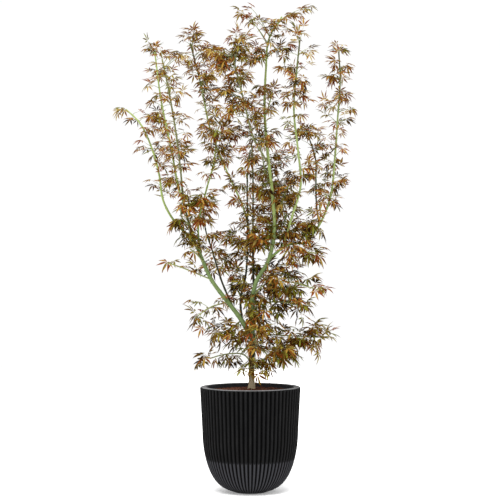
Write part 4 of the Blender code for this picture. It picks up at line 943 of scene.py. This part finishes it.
def limb_tree():
    """A round limb along a line: bark relief, and a swelling at each pair of buds."""
    graph = shape_tree(
        "limbs", sides="Int", relief="Float", grain="Float", knuckle="Float",
        knuckle_step="Float", bark_seed="Float", bark="Material")
    length = graph.node("GeometryNodeSplineParameter").outputs["Length"]
    kept = graph.node("GeometryNodeCaptureAttribute", {"Geometry": graph.given["Geometry"]})
    kept.capture_items.new("FLOAT", "along")
    graph.tree.links.new(length, kept.inputs[1])
    skin = graph.skin(kept.outputs[0], "Sides")
    drawn_out = graph.vector("MULTIPLY", graph.position(), (1.0, 1.0, 0.22))
    rough = graph.node("ShaderNodeTexNoise", {
        "Vector": drawn_out, "W": graph.given["Bark Seed"], "Scale": graph.given["Grain"],
        "Detail": 3.0}, noise_dimensions="4D").outputs[0]
    rough = graph.math("MULTIPLY", graph.math("SUBTRACT", rough, 0.5), graph.given["Relief"])
    half = graph.math("MULTIPLY", graph.given["Knuckle Step"], 0.5)
    away = graph.math("PINGPONG", kept.outputs[1], half)
    far = graph.math("DIVIDE", away, KNUCKLE_REACH)
    near = graph.math("MAXIMUM", graph.math("SUBTRACT", 1.0, far), 0.0)
    swell = graph.math("MULTIPLY", graph.math("POWER", near, 1.5), graph.given["Knuckle"])
    normal = graph.node("GeometryNodeInputNormal").outputs[0]
    outward = graph.vector("SCALE", normal, graph.math("ADD", rough, swell))
    graph.finish(graph.even(graph.push(skin, outward)), graph.given["Bark"])
    return graph


def trunk_paint():
    """Buff grey bark at the foot with dark flakes, dark green brown higher up."""
    paint, graph = material("bark_trunk", (0.2, 0.16, 0.1), 0.85, 0.2)
    wander = graph.math("MULTIPLY_ADD", noise(graph, 60.0, (1, 1, 0.5)), 0.05, -0.025)
    level = graph.math("SUBTRACT", graph.math("ADD", graph.height(), wander), SOIL_TOP)
    share = graph.math("DIVIDE", level, 0.20, clamp=True)
    body = ramp(
        graph, share, (0.0, (0.430, 0.350, 0.225)), (0.20, (0.440, 0.360, 0.235)),
        (0.34, (0.085, 0.060, 0.030)), (0.60, (0.034, 0.030, 0.014)),
        (1.0, (0.080, 0.098, 0.046)))
    flake = noise(graph, 110.0, (1, 1, 0.35), 6.0, 0.6)
    dark = graph.math("MULTIPLY", graph.math("GREATER_THAN", flake, 0.60), 0.70)
    coloured(graph, mixed(graph, dark, body, (0.050, 0.032, 0.018)))
    bumped(graph, noise(graph, 220.0, (1, 1, 0.25), 6.0, 0.65), 0.9, 0.0016)
    return paint


def cane_paint(name, low, high, dark, turn_height, spread):
    """Smooth young bark: one green low down, another higher up, in soft streaks."""
    paint, graph = material(name, low, 0.55, 0.15)
    wander = graph.math("MULTIPLY_ADD", noise(graph, 14.0, (1, 1, 0.5), 3.0), 0.16, -0.08)
    level = graph.math("ADD", graph.height(), wander)
    share = graph.math("SUBTRACT", level, turn_height - spread / 2)
    share = graph.math("DIVIDE", share, spread, clamp=True)
    body = mixed(graph, share, low, high)
    streak = noise(graph, 120.0, (1, 1, 0.06), 4.0, 0.6)
    body = mixed(graph, graph.math("MULTIPLY", streak, 0.45), body, dark)
    speck = graph.math("MULTIPLY", graph.math(
        "GREATER_THAN", noise(graph, 420.0, (1, 1, 0.6), 2.0), 0.68), 0.5)
    coloured(graph, mixed(graph, speck, body, (0.33, 0.30, 0.17)))
    bumped(graph, streak, 0.3, 0.0008)
    return paint


def limb_line(path, step):
    count = max(3, round(path.length / step))
    return [
        (path.at(i / count), path.radius(i / count) * LIMB_FULLNESS) for i in range(count + 1)]


def closed_tip(line):
    """The line with a rounded end, so that a limb doesn't stop as a cut stub."""
    place, radius = line[-1]
    way = (place - line[-2][0]).normalized()
    return line + [(place + way * radius * 0.6, radius * 0.75), (place + way * radius, radius * 0.2)]


def make_limbs(paths):
    tree = limb_tree()
    trunk = limb_line(paths["trunk"], TRUNK_STEP)
    piece = grown(lines_object("trunk_bark", [trunk]), tree, "trunk_bark", {
        "sides": 28, "relief": 0.0030, "grain": 120.0, "knuckle": 0.0, "knuckle_step": 1.0,
        "bark_seed": 3.0, "bark": trunk_paint()})
    stand_for(piece, "trunk", "trunk")
    for title, (names, slot, *bark) in BARKS.items():
        lines = [closed_tip(limb_line(paths[name], CANE_STEP)) for name in names]
        piece = grown(lines_object(title, lines), tree, title, {
            "sides": 14, "relief": 0.0007, "grain": 60.0, "knuckle": KNUCKLE_RISE,
            "knuckle_step": KNUCKLE_STEP, "bark_seed": float(len(names)),
            "bark": cane_paint(*bark)})
        stand_for(piece, slot, *names)


# --------------------------------------------------------------------- shoots and leaves

class Growth:
    """All shoots, stalks and leaves, kept by kind."""

    def __init__(self):
        self.shoots = []
        self.stalks = []
        self.leaves = {tint: [] for tint in TINTS}


def spray_space(name, path, start, end, number, values):
    """Centre and half size of a spray, exactly as in the solids."""
    share, side, lift, half_width, half_height = values
    seat = path.at(start + (end - start) * share)
    way = random.Random(f"{name} spray {number}").uniform(-1, 1)
    depth = way * SPRAY_DEPTH * half_width
    return seat + Vector((side, depth, lift)), half_width, half_height


def deal_tint(rng, height):
    """A tint for a spray or a leaf: rustier high up, greener low down."""
    share = share_between(height, TINT_LOW_HEIGHT, TINT_HIGH_HEIGHT)
    odds = [low + (high - low) * share for _, _, low, high in TINTS.values()]
    return rng.choices(list(TINTS), odds)[0]


def leaf_reach(rng, height):
    share = share_between(height, LEAF_LOW_HEIGHT, LEAF_HIGH_HEIGHT)
    return (LEAF_LOW + (LEAF_HIGH - LEAF_LOW) * share) * rng.uniform(*LEAF_SIZES)


def random_way(rng, size):
    return Vector([rng.uniform(-size, size) for _ in range(3)])


def bent(foot, tip, rise, steps):
    """A line that rises from its foot and levels out at its tip."""
    middle = foot.lerp(tip, 0.45) + Vector((0, 0, rise * (tip - foot).length))
    line = []
    for i in range(steps + 1):
        t = i / steps
        line.append(foot * (1 - t) ** 2 + middle * 2 * t * (1 - t) + tip * t ** 2)
    return line


def add_leaf(crown, rng, node, way, reach, tint):
    """A stalk from the node with a leaf that hangs from its end."""
    length = STALK_SHARE * reach * rng.uniform(0.5, 1.5)
    seat = node + way * length + Vector((0, 0, 0.15 * length))
    heading = way + random_way(rng, 0.3)
    heading.z -= rng.uniform(-0.2, 0.8)
    heading.normalize()
    tip = seat + heading * reach
    low, high = CAD_BOX
    for i in range(3):
        if not low[i] - OVERHANG < tip[i] < high[i] + OVERHANG:
            return
    middle = node.lerp(seat, 0.5) + Vector((0, 0, 0.08 * length))
    crown.stalks.append([(node, STALK_RADIUS * 1.3), (middle, STALK_RADIUS), (seat, STALK_RADIUS)])
    facing = Vector((0, 0, 1)) + Vector((way.x, way.y, 0)) * rng.uniform(0.0, 0.7)
    facing += random_way(rng, 0.5)
    if rng.random() < STRAY_TINT:
        tint = deal_tint(rng, seat.z)
    crown.leaves[tint].append((seat, heading, facing, reach, rng.randrange(len(LEAF_FORMS))))


def add_shoot(crown, rng, foot, tip, nodes, tint):
    """A side shoot with a leaf at its tip and pairs of leaves along it."""
    length = (tip - foot).length
    steps = max(3, round(length / SHOOT_STEP))
    line = bent(foot, tip, SHOOT_RISE, steps)
    thick = SHOOT_FOOT * (0.7 + min(1.0, length / 0.08) * 0.5)
    crown.shoots.append([
        (p, thick + (SHOOT_TIP - thick) * i / steps) for i, p in enumerate(line)])
    along = (line[-1] - line[-2]).normalized()
    add_leaf(crown, rng, line[-1], along, leaf_reach(rng, tip.z), tint)
    across = along.cross(Vector((0, 0, 1))).normalized()
    above = across.cross(along)
    spacing = min(NODE_STEP, length / (nodes + 0.5))
    for number in range(nodes):
        back = (number + rng.uniform(0.15, 0.55)) * spacing / length
        node = line[min(steps, max(1, round((1 - back) * steps)))]
        roll = rng.uniform(-0.9, 0.9)
        for side in (-1, 1):
            way = (across * math.cos(roll) + above * math.sin(roll)) * side
            way += along * rng.uniform(0.1, 0.9)
            add_leaf(crown, rng, node, way.normalized(), leaf_reach(rng, node.z), tint)


def grow_spray(crown, rng, wood, centre, half_width, half_height, layers):
    """Grow shoots from the nearest wood into a spray."""
    reach = leaf_reach(rng, centre.z)
    count = layers * math.pi * half_width * half_height / (LEAF_COVER * reach ** 2)
    first = rng.uniform(0, math.tau)
    tint = deal_tint(rng, centre.z)
    wide = max(0.40 * half_width, half_width - 0.60 * reach)
    high = max(0.35 * half_height, half_height - 0.40 * reach)
    shoots = max(1, round(count / 5))
    for k in range(shoots):
        turn = first + math.tau * k * 0.618 + rng.uniform(-0.4, 0.4)
        spread = math.sqrt((k + rng.uniform(0.2, 1)) / shoots)
        level = rng.uniform(-1, 1) * math.sqrt(max(0, 1.15 - spread ** 2))
        tip = centre + Vector((
            math.cos(turn) * spread * wide, math.sin(turn) * spread * wide, level * high))
        nearest = min(range(len(wood)), key=lambda i: (tip - wood[i]).length)
        distance = (tip - wood[nearest]).length
        foot = wood[max(0, nearest - round(SHOOT_LEAN * distance / WOOD_STEP))]
        add_shoot(crown, rng, foot, tip, rng.choice((1, 2, 2, 3)), tint)


def grow_buds(crown, rng, wood, sprays, share):
    """Pairs of short shoots from the buds of a stem, where no spray covers them."""
    step = round(BUD_STEP / WOOD_STEP)
    turn = rng.uniform(0, math.pi)
    for i in range(rng.randrange(1, step), len(wood), step):
        turn += math.pi / 2 + rng.uniform(-0.5, 0.5)
        tint = deal_tint(rng, wood[i].z)
        if any(inside(wood[i], *space) for space in sprays):
            continue
        for side in (0, math.pi):
            if rng.random() > 0.8 * share:
                continue
            length = rng.uniform(*BUD_SHOOT)
            way = Vector((math.cos(turn + side), math.sin(turn + side), rng.uniform(0.2, 0.9)))
            tip = wood[i] + way.normalized() * length
            add_shoot(crown, rng, wood[i], tip, rng.choice((0, 1, 1)), tint)


def inside(point, centre, half_width, half_height):
    away = point - centre
    across = math.hypot(away.x, away.y)
    return (across / half_width) ** 2 + (away.z / half_height) ** 2 < 0.6


def grow_crown(paths):
    crown = Growth()
    for name, (cane, low, high, sprays) in CANE_FOLIAGE.items():
        path = paths[cane]
        start = path.share_at_height(low) + CLEARANCE / path.length
        end = path.share_at_height(high) if high else 1.0
        grow_mass(crown, name, path, start, end, None, sprays, CANE_LAYERS)
    for name, (limb, _, _, sprays) in SIDE_FOLIAGE.items():
        path = paths["side " + name]
        grow_mass(crown, name, path, 0.0, 1.0, paths[limb], sprays, SIDE_LAYERS)
    return crown


def stubbed(name, line):
    """A stem's line, cut to a stub where its mass has no leaves on its last spray."""
    return line[:round(STUB * len(line))] if OPEN_TIPS.get(name) == 0 else line


def grow_mass(crown, name, path, start, end, parent, sprays, layers):
    rng = random.Random(name)
    count = max(2, round((end - start) * path.length / WOOD_STEP))
    wood = [path.at(start + (end - start) * i / count) for i in range(count + 1)]
    if parent:
        wood = [p for p in wood if parent.clears(p, BARE_FOOT / 2)]
    wood = stubbed(name, wood)
    fullness = FULLNESS.get(name, 1.0)
    open_tip = OPEN_TIPS.get(name, OPEN_TIP if parent else 1.0)
    outermost = len(sprays) - 1
    spaces = [
        spray_space(name, path, start, end, number, values)
        for number, values in enumerate(sprays + INNER_SPRAYS.get(name, []))]
    for number, space in enumerate(spaces):
        share = open_tip if number == outermost else 1.0
        if share:
            grow_spray(crown, rng, wood, *space, layers * share * fullness)
    grow_buds(crown, rng, wood, spaces, fullness)


def line_tree():
    """Thin round stalks along open lines."""
    graph = shape_tree("stalks", sides="Int", stalk_paint="Material")
    skin = graph.skin(graph.given["Geometry"], "Sides")
    graph.finish(graph.even(skin), graph.given["Stalk Paint"])
    return graph


# Lobes of a leaf of seven and of one of five: turn from the middle one, and length
SEVEN_LOBES = (
    (-118, 0.36), (-78, 0.66), (-38, 0.90), (0, 1.0), (38, 0.90), (78, 0.66), (118, 0.36))
FIVE_LOBES = ((-80, 0.60), (-40, 0.88), (0, 1.0), (40, 0.88), (80, 0.60))
LOBE_STATIONS = (0.13, 0.34, 0.55, 0.78)
LOBE_WIDTHS = (0.24, 0.85, 1.00, 0.56)
LOBE_HALF_WIDTH = 0.086
# Forms of leaf: lobes, how far they close, how far they arch down, and their crease
LEAF_FORMS = [
    (FIVE_LOBES, 1.00, 0.15, 0.5), (FIVE_LOBES, 0.85, 0.30, 0.6), (FIVE_LOBES, 0.70, 0.45, 0.7),
    (SEVEN_LOBES, 0.95, 0.25, 0.6)]


def leaf_form(name, lobes, close, arch, crease):
    """A leaf about one unit long, of narrow lobes, its tip along X and its face up.

    Every second lobe, and the end of each one, is marked dark, for painted shade.
    """
    rng = random.Random(name)
    bm = bmesh.new()
    shade = bm.faces.layers.int.new("dark")
    for number, (turn, length) in enumerate(lobes):
        # Every second lobe is marked for painted shade.
        dark = (number + len(lobes) // 2) % 2
        angle = math.radians(turn * close + rng.uniform(-5, 5))
        length *= rng.uniform(0.9, 1.05)
        sweep = rng.uniform(-0.14, 0.14)
        way = Vector((math.cos(angle), math.sin(angle), 0))
        side = Vector((-way.y, way.x, 0))

        def place(along, across, lift):
            run = along * length
            across += sweep * run ** 2
            return way * run + side * across + Vector((0, 0, lift - arch * run ** 2))

        rows = []
        for along, share in zip(LOBE_STATIONS, LOBE_WIDTHS):
            half = LOBE_HALF_WIDTH * share * (0.55 + 0.45 * length)
            rows.append([
                bm.verts.new(place(along, -half, crease * half)),
                bm.verts.new(place(along, 0, 0)),
                bm.verts.new(place(along, half, crease * half))])
        heel = bm.verts.new(place(0, 0, 0))
        point = bm.verts.new(place(1, 0, 0))
        for left, right in ((0, 1), (1, 2)):
            bm.faces.new((heel, rows[0][left], rows[0][right]))[shade] = dark
            for a, b in zip(rows, rows[1:]):
                bm.faces.new((a[left], b[left], b[right], a[right]))[shade] = dark
            # The end of each lobe is marked for painted shade too.
            bm.faces.new((rows[-1][left], point, rows[-1][right]))[shade] = 1
    bmesh.ops.remove_doubles(bm, verts=bm.verts, dist=1e-5)
    for face in bm.faces:
        face.normal_update()
        if face.normal.z < 0:
            face.normal_flip()
    return shown_mesh(name, bm)


def leaf_tree():
    """Sets a leaf on each seat, turned to its heading and face, each one bent a little."""
    graph = shape_tree(
        "leaf sprays", leaf_forms="Collection", unevenness="Float", bend_seed="Float",
        blade="Material", dark_blade="Material")
    forms = graph.node("GeometryNodeCollectionInfo", {
        "Collection": graph.given["Leaf Forms"], "Separate Children": True,
        "Reset Children": True})
    turn = graph.node("FunctionNodeAxesToRotation", {
        0: graph.attribute("heading", "FLOAT_VECTOR"), 1: graph.attribute("facing", "FLOAT_VECTOR")},
        primary_axis="X", secondary_axis="Z")
    laid = graph.node("GeometryNodeInstanceOnPoints", {
        "Points": graph.given["Geometry"], "Instance": forms.outputs[0],
        "Pick Instance": True, "Instance Index": graph.attribute("form", "INT"),
        "Rotation": turn.outputs[0], "Scale": graph.attribute("reach")})
    real = graph.node("GeometryNodeRealizeInstances", {"Geometry": laid.outputs[0]})
    cloud = graph.node("ShaderNodeTexNoise", {
        "Vector": graph.position(), "W": graph.given["Bend Seed"], "Scale": 26.0, "Detail": 0.0},
        noise_dimensions="4D").outputs[1]
    sway = graph.vector("SUBTRACT", cloud, (0.5, 0.5, 0.5))
    sway = graph.vector("SCALE", sway, graph.given["Unevenness"])
    done = graph.finish(graph.push(real.outputs[0], sway), graph.given["Blade"])
    # The faces marked dark take the darker copy of their tint: painted shade.
    dark = graph.node("GeometryNodeSetMaterial", {
        "Geometry": done.outputs[0], "Material": graph.given["Dark Blade"],
        "Selection": graph.attribute("dark", "BOOLEAN")})
    graph.tree.links.new(dark.outputs[0], graph.made[0])
    return graph


def seats_object(name, leaves):
    """The leaves' seats as loose points that carry heading, face, reach and form."""
    mesh = bpy.data.meshes.new(name)
    mesh.from_pydata([leaf[0] for leaf in leaves], [], [])
    for label, kind, column in (
            ("heading", "FLOAT_VECTOR", 1), ("facing", "FLOAT_VECTOR", 2),
            ("reach", "FLOAT", 3), ("form", "INT", 4)):
        layer = mesh.attributes.new(label, kind, "POINT")
        if kind == "FLOAT_VECTOR":
            layer.data.foreach_set("vector", [v for leaf in leaves for v in leaf[column]])
        else:
            layer.data.foreach_set("value", [leaf[column] for leaf in leaves])
    return shown(name, mesh)


def make_foliage(paths):
    crown = grow_crown(paths)
    masses = [name for name in frame["nodes"] if name.startswith("foliage_")]
    green, _ = material("shoot_green", (0.200, 0.220, 0.075), 0.6, 0.2)
    red, _ = material("stalk_red", (0.230, 0.150, 0.055), 0.6, 0.2)
    tree = line_tree()
    stems = [
        closed_tip(stubbed(name, limb_line(paths["side " + name], SIDE_STEM_STEP)))
        for name in SIDE_FOLIAGE]
    shoots = grown(lines_object("shoots", stems + crown.shoots), tree, "shoots", {
        "sides": 5, "stalk_paint": green})
    stalks = grown(lines_object("leaf_stalks", crown.stalks), tree, "leaf_stalks", {
        "sides": 3, "stalk_paint": red})
    stand_for(shoots, masses[0], *masses)
    stand_for(stalks, masses[0], *masses)
    forms = bpy.data.collections.new("leaf_forms")
    bpy.context.scene.collection.children.link(forms)
    for i, shape in enumerate(LEAF_FORMS):
        form = leaf_form(f"leaf_form_{i}", *shape)
        bpy.context.scene.collection.objects.unlink(form)
        forms.objects.link(form)
    sprays = leaf_tree()
    for number, (tint, leaves) in enumerate(crown.leaves.items()):
        light, dark, _, _ = TINTS[tint]
        blade, _ = material("leaf_" + tint, light, 0.65, 0.04)
        # The darker copy of the tint, for the lobes marked dark: painted shade.
        dark_blade, _ = material("leaf_painted_shade_" + tint, dark, 0.65, 0.04)
        for part in range(0, len(leaves), PIECE_LEAVES):
            name = f"leaves_{tint}_{part // PIECE_LEAVES + 1}"
            seats = seats_object(name, leaves[part:part + PIECE_LEAVES])
            piece = grown(seats, sprays, name, {
                "leaf_forms": forms, "unevenness": LEAF_UNEVENNESS,
                "bend_seed": float(number), "blade": blade, "dark_blade": dark_blade})
            stand_for(piece, masses[0], *masses)
    for form in list(forms.objects):
        bpy.data.objects.remove(form, do_unlink=True)
    bpy.data.collections.remove(forms)


def main():
    light_scene()
    make_floor()
    make_planter()
    make_soil()
    paths = make_paths()
    make_limbs(paths)
    make_foliage(paths)


main()
